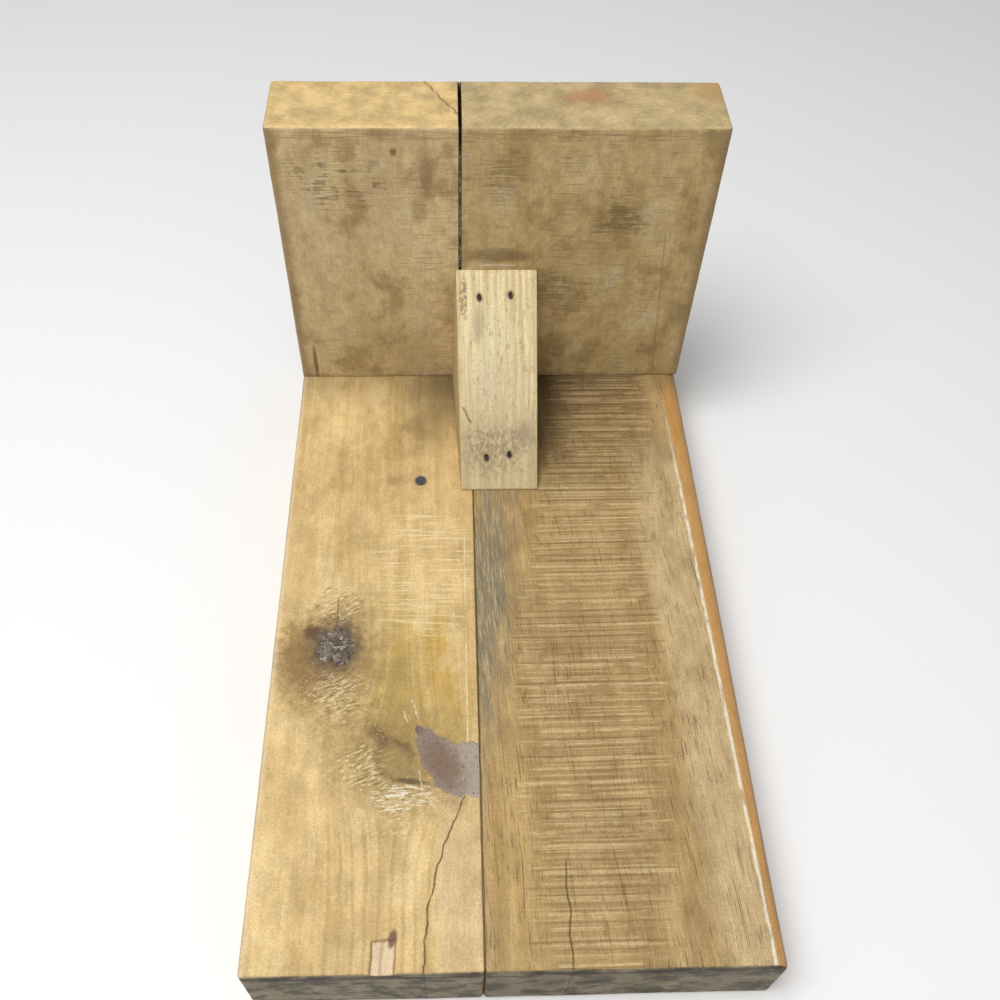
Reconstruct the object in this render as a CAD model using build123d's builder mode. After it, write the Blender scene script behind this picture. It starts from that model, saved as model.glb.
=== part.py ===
from build123d import *

from math import hypot
import os

# Wooden door stop: two edge-joined plank panels set as an L, with a wedge block in the corner.
# The frame is +X to the right, +Y towards the upright panel and +Z up. The origin is on the
# surface that the stop stands on, below the middle of its length and width. Millimetres.

os.makedirs("parts", exist_ok=True)

# Panels
width = 200.0  # both panels, side to side
base_length = 336.0  # front edge to rear face
upright_height = 148.0  # above the base
base_thickness = 37.0
upright_thickness = 37.0
base_joint_x = -11.2  # line where the two base boards meet
upright_joint_x = -16.6  # line where the two upright boards meet

# Worn and rounded edges
base_left_round = 2.5
base_right_round = 7.0
base_end_round = 2.4
upright_round = 2.4

# Open seam left between the upright boards, at their front and top
seam_width = 1.6
seam_depth = 8.0
seam_top_depth = 5.0
seam_filler_recess = 0.6
seam_filler_top = 13.0  # below the top of the upright

# Wedge block in the corner
brace_height = 72.0  # up the upright
brace_run = 78.0  # along the base
brace_toe = 0.9  # blunt flat at each thin end
brace_right = 20.5
brace_left_top = 18.7  # its left side leans in, so its front face is the narrower
brace_left_front = 17.1
brace_left_corner = 20.7

# Finish nails through the wedge block
pin_diameter = 1.6
pin_length = 30.0
pin_head_length = 3.3
pin_head_width = 1.9
pin_head_thickness = 0.8
pin_recess = 1.4
top_pins = [(-7.4, 13.3), (7.7, 12.3)]  # across, and down from the block's top edge
bottom_pins = [(-4.4, 14.7), (6.7, 16.0)]  # across, and up from the block's bottom edge

# Dowels across the glued seams
dowel_diameter = 10.0
dowel_length = 40.0
dowel_end_chamfer = 1.0
base_dowel_spacing = 110.0
upright_dowel_inset = 30.0  # top dowel, below the top edge
upright_dowel_spacing = 55.0

# Countersunk screws, up through the base into the upright
screw_length = 80.0
screw_shank = 4.2
screw_thread = 5.0
screw_core = 3.4
screw_pitch = 3.5
screw_thread_length = 48.0
screw_point = 5.0
screw_head = 9.5
screw_recess = 0.8
screw_slot = 5.0
screw_slot_width = 1.0
screw_slot_depth = 2.4
screw_side_inset = 22.0  # outer screw of each board, from the side
screw_joint_inset = 32.0  # inner screw of each board, from its seam

# Old nail left in the left base board
nail_inset_x = 63.4  # from the left side
nail_inset_y = 108.3  # from the rear face
nail_head = 5.2
nail_head_thickness = 1.2
nail_shank = 2.8
nail_length = 26.0
nail_recess = 0.2

# Filler in the two knots of the left base board
filler_depth = 5.0
filler_recess = 0.3
upper_knot_x = 27.0  # from the left side
upper_knot_y = 135.5  # from the front edge
lower_knot_y = 83.0  # from the front edge

# Filler of the open seam
seam_filler_bottom = 1.0  # above the wedge block

# Clearances
pin_clearance = 0.05
dowel_clearance = 0.1
dowel_end_clearance = 1.0
screw_clearance = 0.1
filler_clearance = 0.05
nail_clearance = 0.05

# Planes and levels that the pieces share
left = -width / 2
right = width / 2
front = -base_length / 2
rear = base_length / 2
base_top = base_thickness
top = base_top + upright_height
corner_y = rear - upright_thickness  # front face of the upright
upright_middle_y = rear - upright_thickness / 2

# Dowel places: along the base seam, and up the upright seam
dowel_bore = dowel_diameter / 2 + dowel_clearance
dowel_reach = dowel_length / 2 + dowel_end_clearance
base_seam_plane = Plane(
    origin=(base_joint_x, 0, base_thickness / 2), x_dir=(0, 1, 0), z_dir=(1, 0, 0)
)
upright_seam_plane = Plane(
    origin=(upright_joint_x, upright_middle_y, top), x_dir=(0, 1, 0), z_dir=(1, 0, 0)
)
base_dowel_points = [(i * base_dowel_spacing, 0) for i in (-1, 0, 1)]
upright_dowel_points = [
    (0, -upright_dowel_inset - i * upright_dowel_spacing) for i in (0, 1)
]

# Screw places, on the underside
left_screw_x = [left + screw_side_inset, upright_joint_x - screw_joint_inset]
right_screw_x = [upright_joint_x + screw_joint_inset, right - screw_side_inset]
left_screw_points = [(x, upright_middle_y) for x in left_screw_x]
right_screw_points = [(x, upright_middle_y) for x in right_screw_x]
screw_tip_z = screw_recess + screw_length
screw_bore = screw_thread / 2 + screw_clearance
nail_place = (left + nail_inset_x, rear - nail_inset_y)

# Half outline of a screw, from the head's middle up to the point
head_height = (screw_head - screw_shank) / 2
ridge_count = int(screw_thread_length / screw_pitch)
thread_start = screw_length - screw_point - ridge_count * screw_pitch
ridges = [
    point
    for i in range(ridge_count)
    for point in (
        (screw_core / 2, thread_start + i * screw_pitch),
        (screw_thread / 2, thread_start + (i + 0.4) * screw_pitch),
        (screw_thread / 2, thread_start + (i + 0.5) * screw_pitch),
        (screw_core / 2, thread_start + (i + 0.9) * screw_pitch),
    )
]
screw_profile = [
    (0, 0), (screw_head / 2, 0), (screw_shank / 2, head_height),
    (screw_shank / 2, thread_start), *ridges,
    (screw_core / 2, screw_length - screw_point), (0, screw_length),
]

# Sloping face of the wedge block: +X across it, +Y up it, +Z out of it
slope_run = brace_run - brace_toe
slope_rise = brace_height - brace_toe
slope_length = hypot(slope_run, slope_rise)
slope_plane = Plane(
    origin=(0, corner_y - brace_toe, base_top + brace_height),
    x_dir=(1, 0, 0),
    z_dir=(0, -slope_rise, slope_run),
)
top_pin_points = [(x, -down) for x, down in top_pins]
bottom_pin_points = [(x, up - slope_length) for x, up in bottom_pins]
slope_axis = Axis(slope_plane.origin, slope_plane.z_dir)
pin_slot = pin_head_width + 2 * pin_clearance
pin_bore = pin_diameter / 2 + pin_clearance
pin_hole_depth = pin_recess + pin_length + pin_clearance

# Outlines of the knot fillers, as offsets from a point of the left base board
upper_knot_centre = (left + upper_knot_x, front + upper_knot_y)
upper_knot_outline = [
    (-8.6, 0.5), (-5.5, 6.5), (0.4, 10.4), (5.8, 6.4),
    (9.0, 0.2), (6.6, -7.4), (0.6, -10.6), (-6.0, -7.0),
]
lower_knot_centre = (base_joint_x, front + lower_knot_y)
lower_knot_outline = [
    (-0.05, 9.0), (-5.5, 6.6), (-11.0, 5.4), (-16.5, 10.4), (-22.5, 15.6), (-29.0, 16.6),
    (-26.0, 10.0), (-24.2, 2.0), (-19.0, -8.6), (-12.0, -16.4), (-5.5, -19.0), (-0.05, -20.0),
]


def knot_points(centre, outline):
    """The outline's offsets, as points of the board."""
    return [(centre[0] + x, centre[1] + y) for x, y in outline]


def outer_edges(board_edges, seam_x):
    """The edges of a board that don't lie on its glued seam."""
    return [edge for edge in board_edges if abs(edge.center().X - seam_x) > seam_width]


def edges_of(chosen_faces):
    """All edges of the chosen faces, each one once."""
    found = ShapeList()
    for face in chosen_faces:
        found += [edge for edge in face.edges() if edge not in found]
    return found


def screw_seats(points):
    """Places on the underside, each looking down."""
    return [Location((x, y, 0), (180, 0, 0)) for x, y in points]


upper_knot_points = knot_points(upper_knot_centre, upper_knot_outline)
lower_knot_points = knot_points(lower_knot_centre, lower_knot_outline)

# Left base board: dowel bores in its seam, screw holes, the old nail's hole and the knot pockets
with BuildPart() as base_board_left:
    with BuildSketch(Plane.XZ.offset(-rear)):
        with BuildLine():
            Polyline(
                (left, 0), (base_joint_x, 0), (base_joint_x, base_top), (left, base_top), close=True
            )
        make_face()
        fillet(vertices().group_by(Axis.X)[0], base_left_round)
    extrude(amount=base_length)
    end_edges = edges().group_by(Axis.Y)[0] + edges().group_by(Axis.Y)[-1]
    fillet(outer_edges(end_edges, base_joint_x), base_end_round)
    with BuildSketch(base_seam_plane):
        with Locations(*base_dowel_points):
            Circle(dowel_bore)
    extrude(amount=-dowel_reach, mode=Mode.SUBTRACT)
    with Locations(*screw_seats(left_screw_points)):
        CounterSinkHole(
            screw_bore,
            screw_head / 2 + screw_recess + screw_clearance,
            counter_sink_angle=90,
        )
    with Locations((*nail_place, base_top)):
        CounterBoreHole(
            nail_shank / 2 + nail_clearance,
            nail_head / 2 + nail_clearance,
            nail_recess + nail_head_thickness,
            nail_recess + nail_length + nail_clearance,
        )
    for rim_points in (upper_knot_points, lower_knot_points):
        with BuildSketch(Plane.XY.offset(base_top)):
            with BuildLine():
                rim = Spline(*rim_points)
                Line(rim @ 1, rim @ 0)
            make_face()
        extrude(amount=-filler_depth, mode=Mode.SUBTRACT)
base_board_left.part.label = "base_board_left"
export_step(base_board_left.part, "parts/base_board_left.step")

# Right base board: dowel bores in its seam, screw holes and the two nail holes of the wedge block
with BuildPart() as base_board_right:
    with BuildSketch(Plane.XZ.offset(-rear)):
        with BuildLine():
            Polyline(
                (right, 0), (base_joint_x, 0), (base_joint_x, base_top), (right, base_top), close=True
            )
        make_face()
        fillet(vertices().group_by(Axis.X)[-1].sort_by(Axis.Y)[-1], base_right_round)
        fillet(vertices().group_by(Axis.X)[-1].sort_by(Axis.Y)[0], base_left_round)
    extrude(amount=base_length)
    end_edges = edges().group_by(Axis.Y)[0] + edges().group_by(Axis.Y)[-1]
    fillet(outer_edges(end_edges, base_joint_x), base_end_round)
    with BuildSketch(base_seam_plane):
        with Locations(*base_dowel_points):
            Circle(dowel_bore)
    extrude(amount=dowel_reach, mode=Mode.SUBTRACT)
    with Locations(*screw_seats(right_screw_points)):
        CounterSinkHole(
            screw_bore,
            screw_head / 2 + screw_recess + screw_clearance,
            counter_sink_angle=90,
        )
    with BuildSketch(slope_plane):
        with Locations(*bottom_pin_points):
            Circle(pin_bore)
    extrude(amount=-pin_hole_depth, mode=Mode.SUBTRACT)
base_board_right.part.label = "base_board_right"
export_step(base_board_right.part, "parts/base_board_right.step")

# The open seam's hollow, at the front and the top of the upright
with BuildPart() as open_seam:
    with BuildSketch(Plane.XY.offset(base_top)):
        with Locations((upright_joint_x, corner_y)):
            Rectangle(seam_width, 2 * seam_depth)
    extrude(amount=upright_height)
    with BuildSketch(Plane.XY.offset(top)):
        with Locations((upright_joint_x, upright_middle_y)):
            Rectangle(seam_width, upright_thickness)
    extrude(amount=-seam_top_depth)

# Left upright board: half of the open seam, its dowel bores and the screws' pilot holes
with BuildPart() as upright_board_left:
    with BuildSketch(Plane.XY.offset(base_top)):
        with Locations((left, corner_y)):
            Rectangle(upright_joint_x - left, upright_thickness, align=(Align.MIN, Align.MIN))
    extrude(amount=upright_height)
    outer_faces = [faces().sort_by(Axis.X)[0], faces().sort_by(Axis.Z)[-1]]
    fillet(outer_edges(edges_of(outer_faces), upright_joint_x), upright_round)
    add(open_seam.part, mode=Mode.SUBTRACT)
    with BuildSketch(upright_seam_plane):
        with Locations(*upright_dowel_points):
            Circle(dowel_bore)
    extrude(amount=-dowel_reach, mode=Mode.SUBTRACT)
    with BuildSketch(Plane.XY.offset(base_top)):
        with Locations(*left_screw_points):
            Circle(screw_bore)
    extrude(amount=screw_tip_z + screw_clearance - base_top, mode=Mode.SUBTRACT)
upright_board_left.part.label = "upright_board_left"
export_step(upright_board_left.part, "parts/upright_board_left.step")

# Right upright board: as the left one, with the wedge block's two upper nail holes
with BuildPart() as upright_board_right:
    with BuildSketch(Plane.XY.offset(base_top)):
        with Locations((right, corner_y)):
            Rectangle(right - upright_joint_x, upright_thickness, align=(Align.MAX, Align.MIN))
    extrude(amount=upright_height)
    outer_faces = [faces().sort_by(Axis.X)[-1], faces().sort_by(Axis.Z)[-1]]
    fillet(outer_edges(edges_of(outer_faces), upright_joint_x), upright_round)
    add(open_seam.part, mode=Mode.SUBTRACT)
    with BuildSketch(upright_seam_plane):
        with Locations(*upright_dowel_points):
            Circle(dowel_bore)
    extrude(amount=dowel_reach, mode=Mode.SUBTRACT)
    with BuildSketch(Plane.XY.offset(base_top)):
        with Locations(*right_screw_points):
            Circle(screw_bore)
    extrude(amount=screw_tip_z + screw_clearance - base_top, mode=Mode.SUBTRACT)
    with BuildSketch(slope_plane):
        with Locations(*top_pin_points):
            Circle(pin_bore)
    extrude(amount=-pin_hole_depth, mode=Mode.SUBTRACT)
upright_board_right.part.label = "upright_board_right"
export_step(upright_board_right.part, "parts/upright_board_right.step")

# Wedge block: a triangle between the panels, its left side leaning inwards
with BuildPart() as corner_brace:
    with BuildSketch(Plane.YZ.offset(-brace_left_corner)):
        with BuildLine():
            Polyline(
                (corner_y, base_top),
                (corner_y, base_top + brace_height),
                (corner_y - brace_toe, base_top + brace_height),
                (corner_y - brace_run, base_top + brace_toe),
                (corner_y - brace_run, base_top),
                close=True,
            )
        make_face()
    extrude(amount=brace_left_corner + brace_right)
    inner_corner = Vector(-brace_left_corner, corner_y, base_top)
    upper_corner = Vector(-brace_left_top, corner_y, base_top + brace_height)
    front_corner = Vector(-brace_left_front, corner_y - brace_run, base_top)
    side_normal = (front_corner - inner_corner).cross(upper_corner - inner_corner)
    split(bisect_by=Plane(origin=inner_corner, z_dir=side_normal), keep=Keep.BOTTOM)
    with BuildSketch(slope_plane):
        with Locations(*top_pin_points, *bottom_pin_points):
            SlotOverall(pin_head_length + 2 * pin_clearance, pin_slot, rotation=90)
    extrude(amount=-(pin_recess + pin_head_thickness), mode=Mode.SUBTRACT)
    with BuildSketch(slope_plane):
        with Locations(*top_pin_points, *bottom_pin_points):
            Circle(pin_bore)
    extrude(amount=-pin_hole_depth, mode=Mode.SUBTRACT)
corner_brace.part.label = "corner_brace"
export_step(corner_brace.part, "parts/corner_brace.step")

# Finish nails: an oval head below the block's face, and a shank with a chisel-like point
for node, points in (("brace_top_pins", top_pin_points), ("brace_bottom_pins", bottom_pin_points)):
    with BuildPart() as pins:
        with BuildSketch(slope_plane.offset(-pin_recess)):
            with Locations(*points):
                SlotOverall(pin_head_length, pin_head_width, rotation=90)
        extrude(amount=-pin_head_thickness)
        with BuildSketch(slope_plane.offset(-pin_recess)):
            with Locations(*points):
                Circle(pin_diameter / 2)
        extrude(amount=-pin_length)
        chamfer(edges().group_by(slope_axis)[0], pin_diameter / 4)
    pins.part.label = node
    export_step(pins.part, f"parts/{node}.step")

# Dowels: one node for each panel's seam
for node, plane, points in (
    ("base_edge_dowels", base_seam_plane, base_dowel_points),
    ("upright_edge_dowels", upright_seam_plane, upright_dowel_points),
):
    with BuildPart() as dowels:
        with BuildSketch(plane.offset(-dowel_length / 2)):
            with Locations(*points):
                Circle(dowel_diameter / 2)
        extrude(amount=dowel_length)
        chamfer(edges().group_by(Axis.X)[0] + edges().group_by(Axis.X)[-1], dowel_end_chamfer)
    dowels.part.label = node
    export_step(dowels.part, f"parts/{node}.step")

# One countersunk screw at the origin, head down: shank, ridged thread, point and cross slot
with BuildPart() as screw:
    with BuildSketch(Plane.XZ):
        with BuildLine():
            Polyline(*screw_profile, close=True)
        make_face()
    revolve(axis=Axis.Z)
    with BuildSketch(Plane.XY):
        Rectangle(screw_slot, screw_slot_width)
        Rectangle(screw_slot_width, screw_slot)
    extrude(amount=screw_slot_depth, mode=Mode.SUBTRACT)

# The corner screws of each board, heads just below the underside
for node, points in (
    ("corner_screws_left", left_screw_points),
    ("corner_screws_right", right_screw_points),
):
    with BuildPart() as screws:
        with Locations(*[(x, y, screw_recess) for x, y in points]):
            add(screw.part)
    screws.part.label = node
    export_step(screws.part, f"parts/{node}.step")

# Old nail, its head just below the board's face
with BuildPart() as old_nail:
    with BuildSketch(Plane.XY.offset(base_top - nail_recess)):
        with Locations(nail_place):
            Circle(nail_head / 2)
    extrude(amount=-nail_head_thickness)
    with BuildSketch(Plane.XY.offset(base_top - nail_recess)):
        with Locations(nail_place):
            Circle(nail_shank / 2)
    extrude(amount=-nail_length)
    chamfer(edges().group_by(Axis.Z)[0], nail_shank / 4)
old_nail.part.label = "old_nail"
export_step(old_nail.part, "parts/old_nail.step")

# Knot fillers: set hard against their pockets' walls, their tops a little low
for node, rim_points in (
    ("upper_knot_filler", upper_knot_points),
    ("lower_knot_filler", lower_knot_points),
):
    with BuildPart() as filler:
        with BuildSketch(Plane.XY.offset(base_top - filler_depth)):
            with BuildLine():
                rim = Spline(*rim_points)
                Line(rim @ 1, rim @ 0)
            make_face()
        extrude(amount=filler_depth - filler_recess)
    filler.part.label = node
    export_step(filler.part, f"parts/{node}.step")

# Filler in the open seam of the upright, from the wedge block to below the top
with BuildPart() as upright_seam_filler:
    with BuildSketch(Plane.XY.offset(base_top + brace_height + seam_filler_bottom)):
        with Locations((upright_joint_x, corner_y + seam_filler_recess)):
            Rectangle(
                seam_width - 2 * filler_clearance,
                seam_depth - seam_filler_recess - filler_clearance,
                align=(Align.CENTER, Align.MIN),
            )
    extrude(amount=upright_height - brace_height - seam_filler_bottom - seam_filler_top)
upright_seam_filler.part.label = "upright_seam_filler"
export_step(upright_seam_filler.part, "parts/upright_seam_filler.step")
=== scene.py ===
"""Wooden door stop: worn planks, wedge block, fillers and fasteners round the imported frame.

Run as a script. It is laid out as an add-on: one operator for each group of pieces and one for
the stage, with their sizes and colours in property groups. The frame's boxes and the sizes in
the property groups are metres; shapes, reliefs and materials work in millimetres.
"""

import math

import bmesh
import bpy
import numpy as np
from mathutils import Matrix, Vector


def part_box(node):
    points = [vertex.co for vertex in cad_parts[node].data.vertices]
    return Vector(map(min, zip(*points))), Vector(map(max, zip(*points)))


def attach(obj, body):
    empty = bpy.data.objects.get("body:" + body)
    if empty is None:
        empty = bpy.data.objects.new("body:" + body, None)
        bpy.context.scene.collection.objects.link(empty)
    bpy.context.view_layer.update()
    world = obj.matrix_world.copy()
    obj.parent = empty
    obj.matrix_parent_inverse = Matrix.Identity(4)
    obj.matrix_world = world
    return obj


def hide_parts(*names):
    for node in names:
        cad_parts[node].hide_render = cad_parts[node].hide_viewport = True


bl_info = {
    "name": "Wooden Door Stop",
    "version": (1, 0, 0),
    "blender": (4, 5, 0),
    "location": "3D View > Sidebar > Door Stop",
    "description": "Builds the worn planks, wedge block, fillers and stage of a wooden door stop",
    "category": "Object",
}

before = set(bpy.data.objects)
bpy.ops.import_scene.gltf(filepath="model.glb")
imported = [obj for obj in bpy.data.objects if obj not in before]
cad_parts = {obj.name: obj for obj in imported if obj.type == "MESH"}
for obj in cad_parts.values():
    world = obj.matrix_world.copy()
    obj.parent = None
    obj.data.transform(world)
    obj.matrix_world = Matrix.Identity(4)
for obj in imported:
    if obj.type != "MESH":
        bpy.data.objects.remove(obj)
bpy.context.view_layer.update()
BODY = "root"
MM = 0.001

# Read from the frame: the boards' boxes in metres, and single places in millimetres
BASE_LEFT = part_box("base_board_left")
BASE_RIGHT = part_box("base_board_right")
UPRIGHT_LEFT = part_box("upright_board_left")
UPRIGHT_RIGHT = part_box("upright_board_right")
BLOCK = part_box("corner_brace")
BASE_SEAM = BASE_LEFT[1].x / MM
UPRIGHT_SEAM = UPRIGHT_LEFT[1].x / MM
SIDE = BASE_RIGHT[1].x / MM
FRONT = BASE_LEFT[0].y / MM
BASE_TOP = BASE_LEFT[1].z / MM
CORNER = UPRIGHT_LEFT[0].y / MM
TOP = UPRIGHT_LEFT[1].z / MM


def box_centre(node):
    """The middle of a node's box, in millimetres."""
    low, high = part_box(node)
    return (low + high) / 2 / MM


UPPER_KNOT = box_centre("upper_knot_filler")
LOWER_KNOT = box_centre("lower_knot_filler")
NAIL = box_centre("old_nail")


# ---------------------------------------------------------------------------
# Noise and shapes
# ---------------------------------------------------------------------------


def lattice(cell, seed):
    """A repeatable number from 0 to 1 for each whole-numbered cell: a mixed integer hash."""
    mixed = cell[..., 0] * 374761393 + cell[..., 1] * 668265263 + cell[..., 2] * 974634777
    mixed = (mixed + seed * 362437) & 0xFFFFFFFF
    mixed = ((mixed ^ (mixed >> 13)) * 1274126177) & 0xFFFFFFFF
    return (mixed ^ (mixed >> 16)) / 0xFFFFFFFF


def noise(points, grain, seed):
    """Value noise from -1 to 1: the lattice's numbers blended by smooth weights, with grain
    the size of a cell in millimetres along X, Y and Z."""
    scaled = points / np.array(grain)
    cell = np.floor(scaled).astype(np.int64)
    part = scaled - cell
    part = part * part * (3 - 2 * part)
    total = np.zeros(len(points))
    for corner in np.ndindex(2, 2, 2):
        weight = np.prod(np.where(corner, part, 1 - part), axis=1)
        total += weight * lattice(cell + np.array(corner), seed)
    return total * 2 - 1


def ramp(value, low, high):
    """0 below low, 1 above high, and a smooth step between."""
    share = np.clip((value - low) / (high - low), 0, 1)
    return share * share * (3 - 2 * share)


def stations(low, high, step, fine, reach):
    """Places from low to high: even steps, and finer ones within reach of both ends."""
    near = np.arange(0, reach, fine)
    middle = np.linspace(low + reach, high - reach, max(2, round((high - low - 2 * reach) / step)))
    return np.concatenate([low + near, middle, (high - near)[::-1]])


def round_corners(across, thick, box, radii):
    """Moves the points of a sharp rectangle onto its corner arcs: a point beyond a corner's
    centre both ways goes to that centre plus the radius along its own direction."""
    for (high_a, high_t), radius in zip(((0, 0), (1, 0), (1, 1), (0, 1)), radii):
        radius = max(radius, 1e-6)
        sign_a, sign_t = 2 * high_a - 1, 2 * high_t - 1
        centre_a = box[0][high_a] - sign_a * radius
        centre_t = box[1][high_t] - sign_t * radius
        off_a, off_t = (across - centre_a) * sign_a, (thick - centre_t) * sign_t
        beyond = (off_a > 0) & (off_t > 0)
        length = np.maximum(np.hypot(off_a, off_t), 1e-9)
        across = np.where(beyond, centre_a + sign_a * radius * off_a / length, across)
        thick = np.where(beyond, centre_t + sign_t * radius * off_t / length, thick)
    return across, thick


def plank_rows(box, along, step, across_step, radii, end_rounds):
    """A closed plank as rows of outlines. Each row is the rounded rectangle of the section, drawn
    in by an inset; the inset runs from half the thickness to nothing over the first end, whose
    arris is a quarter circle, stays nothing along the plank, and comes back over the far end."""
    low, high = (np.array(corner) / MM for corner in box)
    thick_axis = 3 - along
    a = stations(low[0], high[0], across_step, 0.4, 2.0)
    t = stations(low[thick_axis], high[thick_axis], 2.6, 0.6, 3.0)[1:-1]
    outline_a = np.concatenate([a, np.full(len(t), high[0]), a[::-1], np.full(len(t), low[0])])
    outline_t = np.concatenate(
        [np.full(len(a), low[thick_axis]), t, np.full(len(a), high[thick_axis]), t[::-1]]
    )
    half = (high[thick_axis] - low[thick_axis]) / 2
    caps = []
    for end_round in end_rounds:
        turn = np.linspace(0, 1, 7) * math.pi / 2
        arc = end_round * (1 - np.sin(turn))
        inset = np.concatenate([np.linspace(half, end_round, 16)[:-1], arc])
        back = np.concatenate([np.zeros(15), end_round * (1 - np.cos(turn))])
        caps.append((inset, back))
    first, last = low[along] + caps[0][1], high[along] - caps[1][1]
    middle = np.arange(first[-1] + step, last[-1] - step / 2, step)
    place = np.concatenate([first, middle, last[::-1]])
    inset = np.concatenate([caps[0][0], np.zeros(len(middle)), caps[1][0][::-1]])
    rows = np.zeros((len(place), len(outline_a), 3))
    centre_a, centre_t = (low[0] + high[0]) / 2, (low[thick_axis] + high[thick_axis]) / 2
    width, depth = high[0] - low[0], high[thick_axis] - low[thick_axis]
    for drawn in np.unique(inset):
        box_a = (low[0] + drawn, high[0] - drawn)
        box_t = (low[thick_axis] + drawn, high[thick_axis] - drawn)
        row_a = centre_a + (outline_a - centre_a) * (1 - 2 * drawn / width)
        row_t = centre_t + (outline_t - centre_t) * (1 - 2 * drawn / depth)
        smaller = [radius - drawn for radius in radii]
        row_a, row_t = round_corners(row_a, row_t, (box_a, box_t), smaller)
        chosen = inset == drawn
        rows[chosen, :, 0] = row_a
        rows[chosen, :, thick_axis] = row_t
    rows[:, :, along] = place[:, None]
    return rows


def make_piece(name, rows, relief, finish, replaced, weld=2e-6):
    """Welds rows of closed outlines into one shell facing outwards, moves each point along its
    normal by relief(points, normals) in millimetres, and puts the piece in the frame."""
    count, around = rows.shape[:2]
    index = np.arange(count * around).reshape(count, around)
    ahead = np.roll(index, -1, axis=1)
    quads = np.stack([index[:-1], ahead[:-1], ahead[1:], index[1:]], axis=-1).reshape(-1, 4)
    mesh = bpy.data.meshes.new(name)
    mesh.vertices.add(count * around)
    mesh.vertices.foreach_set("co", (rows * MM).astype(np.float32).ravel())
    mesh.loops.add(quads.size)
    mesh.loops.foreach_set("vertex_index", quads.astype(np.int32).ravel())
    mesh.polygons.add(len(quads))
    mesh.polygons.foreach_set("loop_start", np.arange(0, quads.size, 4, dtype=np.int32))
    mesh.update(calc_edges=True)
    shell = bmesh.new()
    shell.from_mesh(mesh)
    bmesh.ops.remove_doubles(shell, verts=shell.verts, dist=weld)
    bmesh.ops.recalc_face_normals(shell, faces=shell.faces)
    shell.to_mesh(mesh)
    open_edges = sum(not edge.is_manifold for edge in shell.edges)
    shell.free()
    if open_edges:
        raise RuntimeError(f"{name} has {open_edges} open edges")
    points = np.empty(len(mesh.vertices) * 3, np.float32)
    normals = np.empty_like(points)
    mesh.vertices.foreach_get("co", points)
    mesh.vertices.foreach_get("normal", normals)
    points = points.reshape(-1, 3).astype(float) / MM
    normals = normals.reshape(-1, 3).astype(float)
    points += normals * relief(points, normals)[:, None]
    mesh.vertices.foreach_set("co", (points * MM).astype(np.float32).ravel())
    mesh.polygons.foreach_set("use_smooth", np.ones(len(mesh.polygons), bool))
    mesh.materials.append(finish)
    mesh.update()
    piece = bpy.data.objects.new(name, mesh)
    bpy.context.scene.collection.objects.link(piece)
    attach(piece, BODY)
    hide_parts(*replaced)
    return piece


# ---------------------------------------------------------------------------
# Relief of the worn wood, in millimetres along the surface's normal
# ---------------------------------------------------------------------------


def hollow(points, centre, reach, depth):
    """A soft dish: minus depth at the centre, fading as a bell with the reach along X and Y."""
    away = ((points[:, 0] - centre[0]) / reach[0]) ** 2 + ((points[:, 1] - centre[1]) / reach[1]) ** 2
    return -depth * np.exp(-away)


def worn(points, seed, seam):
    """Hand-planed waves and small dents, common to all the planks, fading out at the seam."""
    waves = 0.12 * noise(points, (24, 60, 24), seed) - 0.12
    return (waves + 0.05 * noise(points, (5, 7, 5), seed + 1)) * ramp(np.abs(points[:, 0] - seam), 0.2, 2.5)


def crack_x(y, path):
    """Where a crack lies across its board: a parabola along the board from its start y."""
    start_x, start_y, length, slope, bend = path
    share = np.clip((start_y - y) / length, 0, 1)
    return start_x - slope * share + bend * share * share


# The left base board's long crack: its start across and along, its length, slope and bend
BASE_CRACK = (BASE_SEAM - 6.2, FRONT + 65.8, 65.8, 33.4, 18.1)
# The chipped patch at the front: its rear end and its half width
CHIP_PLACE = (-47.8, FRONT + 12.6)
CHIP_HALF = 4.0
# The middle of the torn wood round the lower knot
TORN_PLACE = (-44, -90)
# Pale roots by the lower knot: place, half length and slope
ROOTS = (
    ((-41.5, -67), 2.6, -0.3),
    ((-37.6, -63.5), 4.5, -0.25),
    ((-35.0, -95), 4.5, -0.2),
    ((-31.5, -103), 3.0, -0.7),
)


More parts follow.
